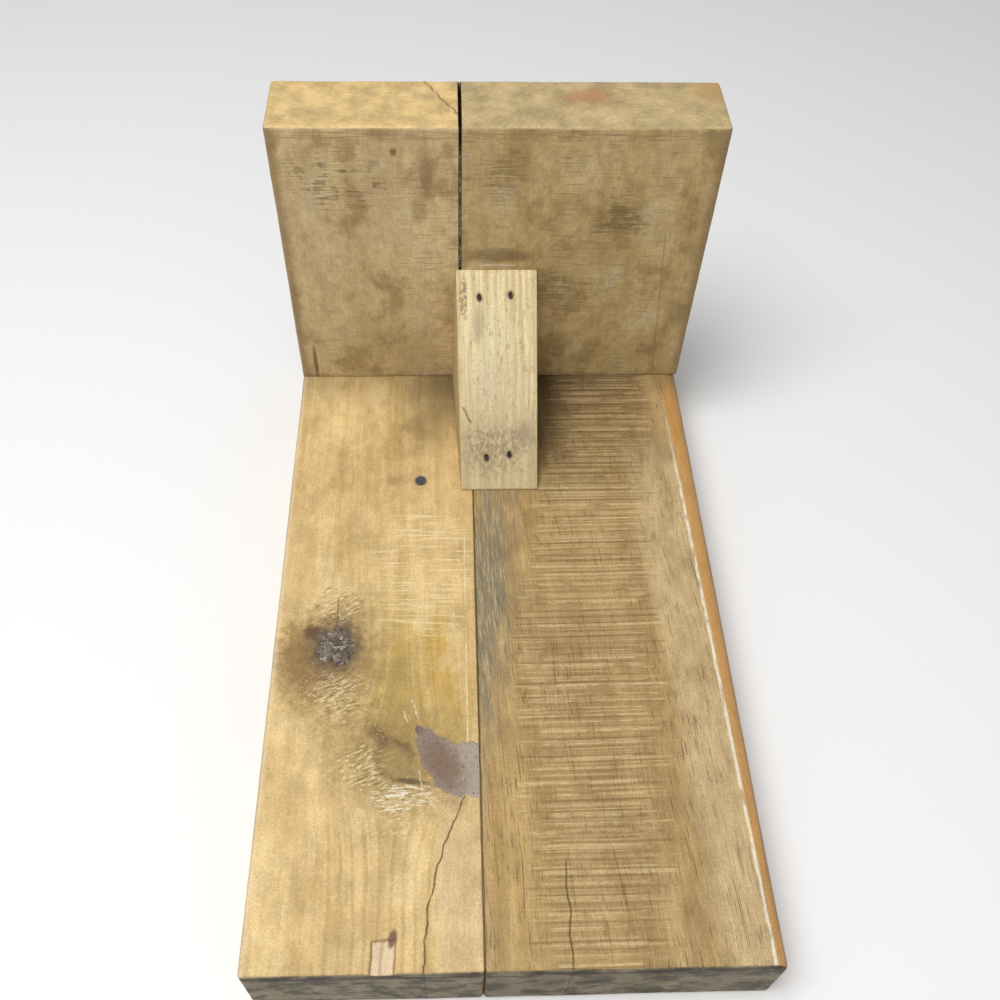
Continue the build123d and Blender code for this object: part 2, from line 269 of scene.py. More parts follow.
def honey_relief(points, normals):
    """Left base board: fibres, hollows under the knots, torn grain beside them, the nail's
    pocket, a long crack and a chipped patch at the front, on its upper face only."""
    x, y = points[:, 0], points[:, 1]
    upper = ramp(normals[:, 2], 0.5, 0.9)
    height = worn(points, 3, BASE_SEAM) + 0.05 * noise(points, (1.6, 26, 4), 5)
    height += upper * hollow(points, UPPER_KNOT, (12, 14), 0.8)
    height += upper * hollow(points, LOWER_KNOT, (19, 19), 0.9)
    rough = np.exp(-((x - UPPER_KNOT[0]) ** 2 + (y - UPPER_KNOT[1]) ** 2) / 20**2)
    rough += np.exp(-((x - TORN_PLACE[0]) ** 2 + (y - TORN_PLACE[1]) ** 2) / 22**2)
    height += upper * rough * (0.30 * noise(points, (2.2, 1.7, 3), 7) + 0.14 * noise(points, (5, 4, 3), 8))
    away = np.hypot(x - NAIL[0], y - NAIL[1])
    height = np.where(upper > 0, height * (1 - ramp(-away, -4, -2.8)), height)
    height -= upper * 0.75 * ramp(-away, -3.1, -2.6)
    crack = np.abs(x - crack_x(y, BASE_CRACK) - 0.8 * noise(points, (9, 9, 9), 9))
    height -= upper * 0.35 * np.exp(-((crack / 0.7) ** 2)) * (y < BASE_CRACK[1])
    beside = np.abs(x - CHIP_PLACE[0] - (y - CHIP_PLACE[1]) * 0.05)
    patch = ramp(-beside, -CHIP_HALF - 0.4, -CHIP_HALF + 0.4) * ramp(CHIP_PLACE[1] - y, -1, 1)
    height -= upper * 0.6 * patch
    return height - upper * 0.25 * np.exp(-(((x - BASE_SEAM) / 0.7) ** 2))


def saw_band(x, y):
    """1 inside the strip that the band saw crossed, whose left and right borders lean."""
    left = np.interp(y, (FRONT, -36, CORNER), (9, 9, 36))
    right = np.interp(y, (FRONT, -36, CORNER), (60, 64, 78))
    return ramp(x, left - 5, left + 3) * (1 - ramp(x, right - 2, right + 3))


def sawn_relief(points, normals):
    """Right base board: low saw ridges of uneven pitch across the strip, and fibres."""
    x, y = points[:, 0], points[:, 1]
    upper = ramp(normals[:, 2], 0.5, 0.9)
    height = worn(points, 13, BASE_SEAM) + 0.06 * noise(points, (1.2, 16, 4), 14)
    height += upper * saw_band(x, y) * 0.05 * noise(points, (34, 1.7, 60), 15)
    return height - upper * 0.25 * np.exp(-(((x - BASE_SEAM) / 0.7) ** 2))


def upright_relief(points, normals):
    """Upright boards: shallow saw ridges, fibres up the board and an uneven open arris."""
    height = worn(points, 23, UPRIGHT_SEAM) + 0.05 * noise(points, (1.4, 4, 22), 24)
    facing = ramp(-normals[:, 1], 0.5, 0.9)
    height += facing * 0.05 * noise(points, (18, 9, 1.2), 25)
    ends = ramp(normals[:, 2], 0.6, 0.9)
    return height + ends * 0.08 * noise(points, (1.2, 1.2, 9), 26)


# ---------------------------------------------------------------------------
# Shader maths
# ---------------------------------------------------------------------------


class Value:
    """A node's number. Python's operators on it add Math nodes."""

    def __init__(self, finish, socket):
        self.finish = finish
        self.socket = socket

    def math(self, operation, *others):
        """A Math node on this value and the others."""
        settings = {"operation": operation}
        sockets = dict(enumerate([self, *others]))
        return self.finish.node("ShaderNodeMath", settings, sockets).value()

    def flipped(self, operation, other):
        """A Math node with the plain number first."""
        return self.finish.node("ShaderNodeMath", {"operation": operation}, {0: other, 1: self}).value()

    def __add__(self, other):
        return self.math("ADD", other)

    def __sub__(self, other):
        return self.math("SUBTRACT", other)

    def __mul__(self, other):
        return self.math("MULTIPLY", other)

    def __truediv__(self, other):
        return self.math("DIVIDE", other)

    def __pow__(self, other):
        return self.math("POWER", other)

    def __rsub__(self, other):
        return self.flipped("SUBTRACT", other)

    def __neg__(self):
        return self * -1

    __radd__ = __add__
    __rmul__ = __mul__

    def __abs__(self):
        return self.math("ABSOLUTE")

    def sine(self):
        """The sine of the value, in radians."""
        return self.math("SINE")

    def lower(self, other):
        """The lower of two values."""
        return self.math("MINIMUM", other)

    def higher(self, other):
        """The higher of two values."""
        return self.math("MAXIMUM", other)

    def rise(self, low, high):
        """0 below low, 1 above high, and a smooth step between. low may be over high."""
        settings = {"interpolation_type": "SMOOTHSTEP", "clamp": True}
        inputs = {"Value": self, "From Min": low, "From Max": high, "To Min": 0.0, "To Max": 1.0}
        return self.finish.node("ShaderNodeMapRange", settings, inputs).value("Result")


class Node:
    """One added node, whose outputs are taken as values or as plain sockets."""

    def __init__(self, finish, node):
        self.finish = finish
        self.node = node

    def value(self, name=0):
        return Value(self.finish, self.node.outputs[name])

    def socket(self, name=0):
        return self.node.outputs[name]


class Finish:
    """A material being built: a Principled shader, and object coordinates in millimetres."""

    def __init__(self, name, roughness=0.6, metallic=0.0, specular=0.35):
        self.material = bpy.data.materials.new(name)
        self.material.use_nodes = True
        self.tree = self.material.node_tree
        self.shader = self.tree.nodes["Principled BSDF"]
        self.shader.inputs["Roughness"].default_value = roughness
        self.shader.inputs["Metallic"].default_value = metallic
        self.shader.inputs["Specular IOR Level"].default_value = specular
        place = self.node("ShaderNodeTexCoord", {}, {}).socket("Object")
        self.place = self.vector("SCALE", place, scale=1 / MM)
        split = self.node("ShaderNodeSeparateXYZ", {}, {0: self.place})
        self.x, self.y, self.z = (split.value(axis) for axis in "XYZ")
        facing = self.node("ShaderNodeNewGeometry", {}, {}).socket("Normal")
        turned = self.node("ShaderNodeSeparateXYZ", {}, {0: facing})
        self.facing_x, self.facing_y, self.facing_z = (turned.value(axis) for axis in "XYZ")

    def node(self, kind, settings, inputs):
        """Adds a node: its settings are set first, then its sockets' numbers or links."""
        node = self.tree.nodes.new(kind)
        for name, value in settings.items():
            setattr(node, name, value)
        for name, value in inputs.items():
            if isinstance(value, Value):
                value = value.socket
            if isinstance(value, bpy.types.NodeSocket):
                self.tree.links.new(value, node.inputs[name])
            else:
                node.inputs[name].default_value = value
        return Node(self, node)

    def vector(self, operation, first, second=None, scale=None):
        """A Vector Math node."""
        inputs = {0: first}
        if second is not None:
            inputs[1] = second
        if scale is not None:
            inputs["Scale"] = scale
        return self.node("ShaderNodeVectorMath", {"operation": operation}, inputs).socket("Vector")

    def join(self, x, y, z):
        """A vector from three values."""
        return self.node("ShaderNodeCombineXYZ", {}, {0: x, 1: y, 2: z}).socket()

    def speckle(self, grain, seed=0.0, detail=2.0, rough=0.5, place=None):
        """Noise from 0 to 1 with grain the size of its cells in millimetres."""
        sized = tuple(1 / size for size in grain)
        moved = self.vector("MULTIPLY_ADD", place or self.place, sized)
        moved.node.inputs[2].default_value = (seed * 7.3, seed * 3.1, seed * 5.7)
        inputs = {"Vector": moved, "Scale": 1.0, "Detail": detail, "Roughness": rough}
        return self.node("ShaderNodeTexNoise", {}, inputs).value(0)

    def mix(self, share, first, second, blend="MIX"):
        """A colour mixed from two colours."""
        settings = {"data_type": "RGBA", "blend_type": blend}
        colours = {}
        for key, colour in ((6, first), (7, second)):
            colours[key] = (*colour, 1.0) if isinstance(colour, tuple) else colour
        return self.node("ShaderNodeMix", settings, {0: share, **colours}).socket(2)

    def stain(self, colour, share, other):
        """Lays another colour over a colour."""
        return self.mix(share, colour, other)

    def shade(self, colour, amount):
        """Multiplies a colour by a value."""
        grey = self.join(amount, amount, amount)
        return self.mix(1.0, colour, grey, "MULTIPLY")

    def tone(self, colour, value, low, high, gain, base):
        """Shades a colour by base, plus gain where a value has risen from low to high."""
        return self.shade(colour, value.rise(low, high) * gain + base)

    def spot(self, across, along, centre, reach, soft=0.3, turn=0.0, frayed=None):
        """1 inside an ellipse and 0 outside, frayed by a value added to its distance."""
        cos, sin = math.cos(math.radians(turn)), math.sin(math.radians(turn))
        off_a, off_b = across - centre[0], along - centre[1]
        first = (off_a * cos + off_b * sin) / reach[0]
        second = (off_b * cos - off_a * sin) / reach[1]
        away = (first * first + second * second) ** 0.5
        if frayed is not None:
            away = away + frayed
        return away.rise(1 + soft, 1 - soft)

    def mark(self, spot, frayed=None):
        """A spot on a board's upper face, from its centre, reach, softness and turn."""
        return self.spot(self.x, self.y, *spot, frayed)

    def strip(self, value, centre, half, soft):
        """1 where a value lies within half of the centre."""
        return abs(value - centre).rise(half + soft, max(half - soft, 0.0))

    def bent(self, across, along, knots):
        """The coordinate across the board that the fibres follow, squeezed round the knots."""
        total = across
        for centre, reach, strength in knots:
            off_a, off_b = across - centre[0], along - centre[1]
            away = (off_a / reach[0]) * (off_a / reach[0]) + (off_b / reach[1]) * (off_b / reach[1])
            bell = (-away).math("EXPONENT")
            total = total - off_a * bell * strength
        return total

    def finish(self, colour, height=None, depth=0.1, roughness=None):
        """Joins the colour, the roughness and a bump, depth in millimetres, to the shader."""
        self.tree.links.new(colour, self.shader.inputs["Base Color"])
        if roughness is not None:
            self.tree.links.new(roughness.socket, self.shader.inputs["Roughness"])
        if height is not None:
            inputs = {"Height": height, "Distance": depth * MM, "Strength": 1.0}
            bump = self.node("ShaderNodeBump", {}, inputs).socket()
            self.tree.links.new(bump, self.shader.inputs["Normal"])
        return self.material


class Noises:
    """A board's noises, kept by name."""

    def __init__(self, **noises):
        vars(self).update(noises)


# ---------------------------------------------------------------------------
# Finishes
# ---------------------------------------------------------------------------


def end_grain(finish, across, depth, pith, tint, tone):
    """The cut ends: uneven rings round a pith, pores and grime. tint is the colour and tone how
    dark the rings are."""
    off_a, off_b = across - pith[0], depth - pith[1]
    away = (off_a * off_a + off_b * off_b) ** 0.5 + finish.speckle((11, 11, 11), 4, 3) * 11
    rings = (away * 2.3).sine() * finish.speckle((7, 7, 7), 5, 3) * 0.5 + 0.5
    colour = finish.mix(rings * tone, tint, tuple(part * 0.6 for part in tint))
    colour = finish.shade(colour, finish.speckle((0.9, 0.9, 0.9), 6, 4, 0.7) * 0.7 + 0.65)
    return finish.tone(colour, finish.speckle((12, 12, 12), 8, 4, 0.6), 0.3, 0.7, 0.42, 0.74)


def grimy_end(finish, tint, pith, seed):
    """The base's cut ends: end grain under dark grime, blackest along the upper edge."""
    ends = end_grain(finish, finish.x, finish.z, pith, tint, 0.6)
    grime = finish.speckle((13, 9, 10), seed, 6, 0.7)
    ends = finish.stain(ends, grime.rise(0.44, 0.60) * 0.80, (0.055, 0.045, 0.032))
    ends = finish.stain(ends, grime.rise(0.40, 0.28) * 0.5, (0.34, 0.29, 0.20))
    streak = finish.speckle((22, 9, 1.6), seed + 1, 3).rise(0.40, 0.54)
    arris = finish.z.rise(30, 33) * finish.z.rise(36.2, 35.0) * streak
    return finish.stain(ends, arris * 0.85, (0.04, 0.028, 0.018))


def torn_grain(finish, colour, where, hairs, light):
    """Torn fibres: pale hairs that thin out towards the border of where, with dark gaps."""
    thinned = (where - 1) * 0.22
    colour = finish.stain(colour, (hairs + thinned).rise(0.48, 0.61) * 0.80, light)
    return finish.stain(colour, (1 - hairs + thinned).rise(0.55, 0.64) * 0.75, (0.16, 0.10, 0.04))


def by_knot(off_x, off_y):
    """A place beside the upper knot."""
    return UPPER_KNOT.x + off_x, UPPER_KNOT.y + off_y


# Spots of the boards and the block: place across and along, reach both ways, how soft the border
# is, and turn in degrees
LOWER_EYE = (-45.6, -86.3)
HONEY_SPOTS = {
    "olive": ((-40, -50), (24, 36), 0.5, 10),
    "orange": ((-27, -38), (5.5, 20), 0.6, 5),
    "pinkish": ((-20, -138), (9, 42), 0.3, 0),
    "scuffed": ((-34, 8), (22, 34), 0.6, 0),
    "halo": (by_knot(-13, -6), (13, 17), 0.6, 0),
    "ring": (by_knot(1, -6), (19, 27), 0.6, 0),
    "fan": ((-46, -84), (26, 20), 0.6, -20),
    "torn above": (by_knot(-1, 22), (15, 13), 0.8, 0),
    "torn below": (by_knot(1, -23), (15, 17), 0.8, 20),
    "torn beside": ((-57, -89), (15, 13), 0.8, -20),
    "torn fan": ((-44, -112), (17, 12), 0.8, 0),
    "torn white": ((-42.5, -101.5), (15, 6), 0.7, 6),
    "eye": (LOWER_EYE, (5.5, 6.8), 0.4, 25),
    "rim": ((-46.2, -85.2), (7.4, 8.6), 0.3, 25),
    "bark": ((-52.5, -75), (3.4, 5.5), 0.6, 35),
    "split wood": ((-39.5, -95), (6.5, 1.3), 0.5, -6),
    "rust": (by_knot(-10.5, 7.5), (4.6, 2.6), 0.6, 20),
    "pit": (by_knot(0, 0), (10.4, 12.4), 0.5, 0),
    "notch": ((CHIP_PLACE[0] + 3.2, CHIP_PLACE[1] + 0.5), (1.5, 3.2), 0.4, -14),
    "nail dirt": ((NAIL.x, NAIL.y), (3.1, 3.1), 0.3, 0),
    "nail smear": ((NAIL.x - 11, NAIL.y), (6, 3.4), 0.8, 0),
}
SAWN_SPOTS = {
    "golden": ((4, -125), (13, 55), 0.6, 0),
    "blue": ((-6, -2), (9.5, 62), 0.8, -4),
}
BLOCK_SPOTS = {
    "mint": ((-3, 42), (12, 26), 0.5, 0),
    "pink": ((1, 62), (16, 22), 0.6, 0),
    "smudge": ((-2, 86), (15, 11), 0.5, 0),
    "smear": ((14, 79), (4.5, 6), 0.5, 0),
    "stain": ((-15.2, 13), (1.9, 9.5), 0.25, 0),
    "grey": ((-8, 26), (2.6, 9), 0.5, 3),
}


def honey_grain(f):
    """The left base board's noises: bands and fibres bent round both knots, clouds, frays, and the
    hairs of torn wood, which lie aslant or level."""
    knots = ((by_knot(0, 0), (17, 26), 0.75), (LOWER_EYE, (24, 30), 0.7))
    across = f.bent(f.x, f.y, knots) + (f.speckle((50, 130, 50), 1) - 0.5) * 9
    flow = f.join(across, f.y, f.z)
    aslant = f.join((f.x * 0.9 + f.y * 0.42) * 0.26, (f.y * 0.9 - f.x * 0.42) * 1.15, f.z)
    return Noises(
        across=across,
        bands=f.speckle((5.5, 170, 30), 2, 4, 0.6, flow),
        fibres=f.speckle((1.1, 17, 3), 3, 4, 0.65, flow),
        blotch=f.speckle((24, 36, 30), 4, 4, 0.6),
        cloud=f.speckle((9, 13, 9), 5, 4, 0.65),
        frayed=f.speckle((5, 5, 5), 11, 5, 0.7) - 0.5,
        fine=f.speckle((1.1, 0.55, 1), 12, 3, 0.7),
        hairs=f.speckle((1, 1, 1), 13, 4, 0.7, aslant),
        level=f.speckle((4.2, 0.8, 1), 14, 4, 0.7),
    )


def honey_ground(f, grain, colours):
    """Banded wood with olive, orange and pinkish patches, a striped low end and saw scuffs."""
    x, y, bands, blotch, cloud = f.x, f.y, grain.bands, grain.blotch, grain.cloud
    share = bands.rise(0.33, 0.67) * 0.8 + 0.1
    colour = f.mix(share, tuple(colours.honey_dark), tuple(colours.honey))
    colour = f.stain(colour, blotch.rise(0.52, 0.72) * 0.35, (0.47, 0.31, 0.115))
    colour = f.stain(colour, blotch.rise(0.45, 0.30) * 0.35, (0.80, 0.60, 0.30))
    olive = f.mark(HONEY_SPOTS["olive"], (blotch - 0.5) * 1.2)
    colour = f.stain(colour, olive * (bands.rise(0.62, 0.40) * 0.5 + 0.35), (0.46, 0.31, 0.075))
    orange = f.mark(HONEY_SPOTS["orange"], (cloud - 0.5) * 2.2)
    colour = f.stain(colour, orange * 0.5, (0.60, 0.35, 0.06))
    pinkish = f.mark(HONEY_SPOTS["pinkish"], (bands - 0.5) * 0.8)
    colour = f.stain(colour, pinkish * 0.5, (0.66, 0.49, 0.28))
    stripes = (grain.across * 1.35 + (blotch - 0.5) * 7).sine() * 0.5 + 0.5
    low = y.rise(-98, -122) * x.rise(-84, -66) * x.rise(-27, -33)
    colour = f.stain(colour, low * stripes.rise(0.6, 1.0) * grain.fibres * 0.75, (0.36, 0.23, 0.075))
    smooth = f.speckle((15, 22, 15), 6, 5, 0.6)
    colour = f.stain(colour, smooth.rise(0.52, 0.64) * 0.40, (0.44, 0.285, 0.095))
    colour = f.stain(colour, smooth.rise(0.48, 0.36) * 0.35, (0.86, 0.66, 0.34))
    colour = f.tone(colour, cloud, 0.28, 0.72, 0.24, 0.87)
    colour = f.tone(colour, grain.fibres, 0.3, 0.7, 0.13, 0.93)
    scuff = f.speckle((17, 0.8, 9), 9, 3, 0.6).rise(0.52, 0.64)
    scuffed = f.mark(HONEY_SPOTS["scuffed"], (cloud - 0.5) * 2.4)
    colour = f.stain(colour, scuffed * scuff * 0.7, (0.90, 0.72, 0.42))
    scratch = f.strip(y + 21 + (x + 40) * 0.10 + (cloud - 0.5) * 3, 0, 0.35, 0.45)
    return f.stain(colour, scratch * f.strip(x, -38, 19, 4) * 0.5, (0.88, 0.72, 0.42))


def honey_knots(f, grain, colour):
    """Both knots: brown halos, torn wood with pale hairs and dark gaps, the dark eyes, short pale
    roots and a split. Returns the colour and the height of the torn wood."""
    frayed, cloud, fine, level = grain.frayed, grain.cloud, grain.fine, grain.level
    halo = f.mark(HONEY_SPOTS["halo"], frayed * 1.8)
    colour = f.stain(colour, halo * (cloud * 0.8 + 0.4), (0.24, 0.135, 0.048))
    ring = f.mark(HONEY_SPOTS["ring"], frayed * 2.0)
    colour = f.stain(colour, ring * 0.65 * (cloud + 0.5), (0.27, 0.165, 0.06))
    fan = f.mark(HONEY_SPOTS["fan"], frayed * 2.0)
    colour = f.stain(colour, fan * 0.68 * (cloud + 0.5), (0.29, 0.19, 0.068))
    torn = f.mark(HONEY_SPOTS["torn above"], frayed * 2)
    torn = torn.higher(f.mark(HONEY_SPOTS["torn below"], frayed * 2))
    torn = torn.higher(f.mark(HONEY_SPOTS["torn beside"], frayed * 2))
    torn = torn.higher(f.mark(HONEY_SPOTS["torn fan"], frayed * 2) * 0.8)
    colour = torn_grain(f, colour, torn, grain.hairs, (0.86, 0.70, 0.41))
    torn_white = f.mark(HONEY_SPOTS["torn white"], frayed * 1.8)
    colour = torn_grain(f, colour, torn_white, level + 0.03, (0.95, 0.87, 0.67))
    eye = f.mark(HONEY_SPOTS["eye"], frayed * 0.9)
    rim = f.mark(HONEY_SPOTS["rim"], frayed * 1.4) * (1 - eye)
    colour = f.stain(colour, rim * (cloud.rise(0.35, 0.6) * 0.5 + 0.4), (0.10, 0.065, 0.025))
    colour = f.stain(colour, eye * 0.65 * (grain.fibres * 0.5 + 0.6), (0.30, 0.22, 0.07))
    colour = f.stain(colour, eye * level.rise(0.60, 0.68) * 0.6, (0.62, 0.50, 0.25))
    bark = f.mark(HONEY_SPOTS["bark"], frayed * 1.8)
    colour = f.stain(colour, bark * fine.rise(0.35, 0.6) * 0.9, (0.13, 0.085, 0.04))
    colour = f.stain(colour, f.mark(HONEY_SPOTS["split wood"], frayed * 1.4) * 0.85, (0.13, 0.085, 0.035))
    colour = f.stain(colour, f.mark(HONEY_SPOTS["rust"], frayed * 2.0) * 0.9, (0.15, 0.06, 0.03))
    pit = f.mark(HONEY_SPOTS["pit"], frayed * 1.6)
    colour = f.stain(colour, pit * 0.9, (0.10, 0.075, 0.055))
    for (root_x, root_y), reach, slope in ROOTS:
        root = f.strip(f.x - root_x - (f.y - root_y) * slope + frayed * 4, 0, 0.15, 0.3)
        root = root * f.strip(f.y, root_y, reach, 0.6)
        colour = f.stain(colour, root * fine.rise(0.3, 0.5) * 0.75, (0.88, 0.80, 0.60))
    split_x, split_y = by_knot(0, 17)
    split = f.strip(f.x - split_x + frayed * 3, 0, 0.25, 0.3) * f.strip(f.y, split_y, 7, 1)
    colour = f.stain(colour, split * 0.8, (0.12, 0.07, 0.03))
    height = grain.hairs * torn * 2.0 + level * torn_white * 2 + fine * pit * 1.5
    return colour, height, torn


def honey_damage(f, grain, colour):
    """The long crack, the chipped patch at the front, and the dirt round the nail and the seam.
    Returns the colour and the height of the damage."""
    x, y, frayed, fibres = f.x, f.y, grain.frayed, grain.fibres
    start_x, start_y, length, slope, bend = BASE_CRACK
    share = (start_y - y) / length
    path = start_x - share * slope + share * share * bend
    wander = (f.speckle((7, 7, 7), 21, 3) - 0.5) * 3.2
    crack = f.strip(x - path + wander, 0, 0.25, 0.25) * share.rise(-0.02, 0.0)
    crack = crack * f.speckle((4, 9, 4), 22).rise(0.25, 0.42)
    colour = f.stain(colour, crack * 0.85, (0.13, 0.08, 0.035))
    ragged = frayed * 1.2 + (fibres - 0.5) * 0.8
    chip_x = x - CHIP_PLACE[0] - (y - CHIP_PLACE[1]) * 0.05 + ragged
    chip_y = CHIP_PLACE[1] - y + x * 0.12
    patch = f.strip(chip_x, 0, CHIP_HALF, 0.25) * (chip_y + ragged * 1.5).rise(-5.4, -4.6)
    rim = f.strip(chip_x, 0, CHIP_HALF + 0.7, 0.3) * chip_y.rise(-6.4, -5.6) * (1 - patch)
    colour = f.stain(colour, rim * 0.7, (0.22, 0.12, 0.05))
    colour = f.stain(colour, patch * 0.85, (0.74, 0.57, 0.38))
    colour = f.stain(colour, f.strip(chip_x, -0.6, 0.4, 0.8) * patch * 0.6, (0.38, 0.25, 0.13))
    colour = f.stain(colour, f.mark(HONEY_SPOTS["notch"], frayed * 0.8) * 0.9, (0.15, 0.065, 0.035))
    colour = f.stain(colour, f.mark(HONEY_SPOTS["nail dirt"], frayed * 0.6) * 0.8, (0.17, 0.14, 0.09))
    colour = f.stain(colour, f.mark(HONEY_SPOTS["nail smear"], frayed * 2.4) * 0.4, (0.30, 0.20, 0.09))
    line = f.strip(x, BASE_SEAM - 4.7, 0.15, 0.3) * f.strip(y, -18, 70, 3)
    line = line * f.speckle((3, 20, 3), 24).rise(0.38, 0.55)
    colour = f.stain(colour, line * 0.8, (0.90, 0.76, 0.50))
    seam = f.strip(x + (f.speckle((3, 8, 3), 25) - 0.5) * 0.8, BASE_SEAM - 0.1, 0.2, 0.3)
    colour = f.stain(colour, seam * 0.75, (0.09, 0.055, 0.03))
    return colour, -crack * 2 - seam - patch * 1.2


def honey_finish(colours):
    """Left base board: honey-yellow wood whose fibres bend round two knots, with pale torn
    grain, brown halos, a long crack, dirt in the seam, a paler edge and shade by the block."""
    f = Finish("honey board", roughness=0.55)
    x, y = f.x, f.y
    grain = honey_grain(f)
    blotch, cloud = grain.blotch, grain.cloud
    colour = honey_ground(f, grain, colours)
    colour, knot_height, torn = honey_knots(f, grain, colour)
    colour, damage_height = honey_damage(f, grain, colour)
    pale_edge = f.strip(x + (cloud - 0.5) * 3, -SIDE, 2.2, 1.4) * f.facing_z.rise(0.1, 0.6)
    colour = f.stain(colour, pale_edge * 0.45, (0.92, 0.77, 0.50))
    side = abs(f.facing_x).rise(0.5, 0.8) * (cloud + blotch - 0.6)
    colour = f.stain(colour, side * 0.8, (0.24, 0.155, 0.06))
    # Painted shade: the board darkened along the corner where it meets the uprights
    colour = f.shade(colour, 1 - f.strip(y, CORNER, 14, 14) * 0.30 * (cloud + 0.5))
    # Painted shadow of the wedge block, falling on the board to the block's left
    beside = x.rise(-62, -22) * (y - x * 0.5).rise(70, 128)
    colour = f.shade(colour, 1 - beside * 0.62 * (blotch * 0.8 + 0.6))
    colour = f.tone(colour, f.speckle((1.0, 1.0, 1.0), 26, 4, 0.75), 0.28, 0.72, 0.34, 0.83)
    front = abs(f.facing_y).rise(0.55, 0.8)
    colour = f.stain(colour, front, grimy_end(f, (0.30, 0.25, 0.165), (-60, -70), 27))
    shine = 0.62 - blotch * 0.12 + torn * 0.15 + front * 0.15
    return f.finish(colour, grain.fibres * 0.25 + knot_height + damage_height, 0.22, shine)


def saw_rows(finish, place, pitch, seed):
    """Saw lines a pitch apart: each row has its own place, strength and two end shifts."""
    row = (place / pitch).math("FLOOR")
    inputs = {"W": row + seed * 17.3}
    chance = finish.node("ShaderNodeTexWhiteNoise", {"noise_dimensions": "1D"}, inputs)
    split = finish.node("ShaderNodeSeparateColor", {}, {0: chance.socket("Color")})
    first, second, third = (split.value(part) for part in range(3))
    within = place / pitch - row - 0.3 - first * 0.4
    return abs(within).rise(0.22, 0.05) * (third * 0.75 + 0.25), first * 15 - 7, second * 17 - 9


def sawn_grain(f):
    """The right base board's noises: leaning bands and fibres, clouds and dark pores."""
    leaning = f.x + f.y * 0.06 + (f.speckle((60, 120, 60), 31) - 0.5) * 12
    flow = f.join(leaning, f.y, f.z)
    patchy = f.speckle((24, 40, 24), 45, 2).rise(0.36, 0.58)
    pores = f.speckle((0.42, 12, 2), 35, 2, 0.5, flow).rise(0.635, 0.69) * patchy
    checks = f.speckle((0.55, 46, 3), 46, 2, 0.5, flow).rise(0.70, 0.73)
    return Noises(
        bands=f.speckle((7, 150, 30), 32, 4, 0.6, flow),
        fibres=f.speckle((0.7, 11, 3), 33, 4, 0.65, flow),
        blotch=f.speckle((28, 40, 30), 34, 4, 0.6),
        cloud=f.speckle((8, 14, 8), 30, 4, 0.65),
        pores=pores.higher(checks),
    )


def sawn_ground(f, grain, colours):
    """Brown wood, plainer towards the right, golden at the low left, with painted shade at the
    rear, dark pores and a blue-grey stain by the seam. Returns the colour and the shade's mask."""
    x, y, cloud, fibres = f.x, f.y, grain.cloud, grain.fibres
    colour = f.mix(grain.bands.rise(0.34, 0.66), tuple(colours.sawn_dark), tuple(colours.sawn))
    plain = (x - 62 + y * 0.05 + (grain.blotch - 0.5) * 20).rise(0, 12) * y.rise(110, 60)
    colour = f.stain(colour, plain * 0.72, (0.60, 0.45, 0.24))
    colour = f.stain(colour, grain.blotch.rise(0.50, 0.72) * 0.45, (0.27, 0.155, 0.055))
    golden = f.mark(SAWN_SPOTS["golden"], (cloud - 0.5) * 2.0)
    colour = f.stain(colour, golden * 0.40, (0.50, 0.32, 0.10))
    colour = f.tone(colour, cloud, 0.28, 0.72, 0.30, 0.84)
    colour = f.tone(colour, fibres, 0.3, 0.7, 0.24, 0.88)
    # Painted shade: the rear of the board, by the upright and right of the block, darkened
    rear_shade = y.rise(38, 112) * x.rise(96, 58)
    colour = f.stain(colour, rear_shade * 0.60 * (cloud * 0.7 + 0.5), (0.17, 0.098, 0.036))
    colour = f.stain(colour, grain.pores * 0.75, (0.13, 0.07, 0.028))
    blue = f.mark(SAWN_SPOTS["blue"], (f.speckle((3, 26, 6), 36, 4, 0.65) - 0.5) * 2.2)
    colour = f.stain(colour, blue * fibres.rise(0.75, 0.35), (0.20, 0.185, 0.125))
    colour = f.stain(colour, blue * fibres.rise(0.52, 0.66) * 0.6, (0.50, 0.44, 0.31))
    return colour, rear_shade


def sawn_lines(f, grain, colour):
    """Saw lines: pale across the strip, on a browner ground with dark furrows between. Returns the
    colour, the ground's share and the lines' height."""
    x, y = f.x, f.y
    lean = (y + 36) / 156
    left = 9 + lean.higher(0.0) * 26
    right = 64 + lean.higher(-0.8) * 12
    ground = (x - left).rise(-8, 6) * (right - x).rise(-6, 6)
    colour = f.stain(colour, ground * 0.35 * (grain.cloud + 0.4), (0.27, 0.16, 0.058))
    tilt = y - x * 0.012 + (f.speckle((90, 30, 90), 38) - 0.5) * 2.5
    rows = []
    for place, pitch, seed in ((tilt, 3.3, 1), (tilt, 2.1, 2), (tilt, 5.2, 3), (tilt + 1.1, 3.3, 4)):
        line, near_shift, far_shift = saw_rows(f, place, pitch, seed)
        held = (x - left - near_shift).rise(-1, 3) * (right - far_shift - x).rise(-1, 3)
        rows.append(line * held)
    lines = rows[0].higher(rows[1]).higher(rows[2])
    furrow = rows[3]
    worn_off = f.speckle((13, 10, 20), 40, 4, 0.65).rise(0.33, 0.56)
    dry = f.speckle((5, 0.6, 2), 39, 3, 0.7).rise(0.22, 0.46)
    lines = lines * worn_off * dry
    colour = f.stain(colour, lines * 0.75, (0.72, 0.53, 0.26))
    colour = f.stain(colour, furrow * (1 - lines) * 0.55, (0.16, 0.09, 0.035))
    return colour, ground, lines * 0.9 - furrow * 0.4


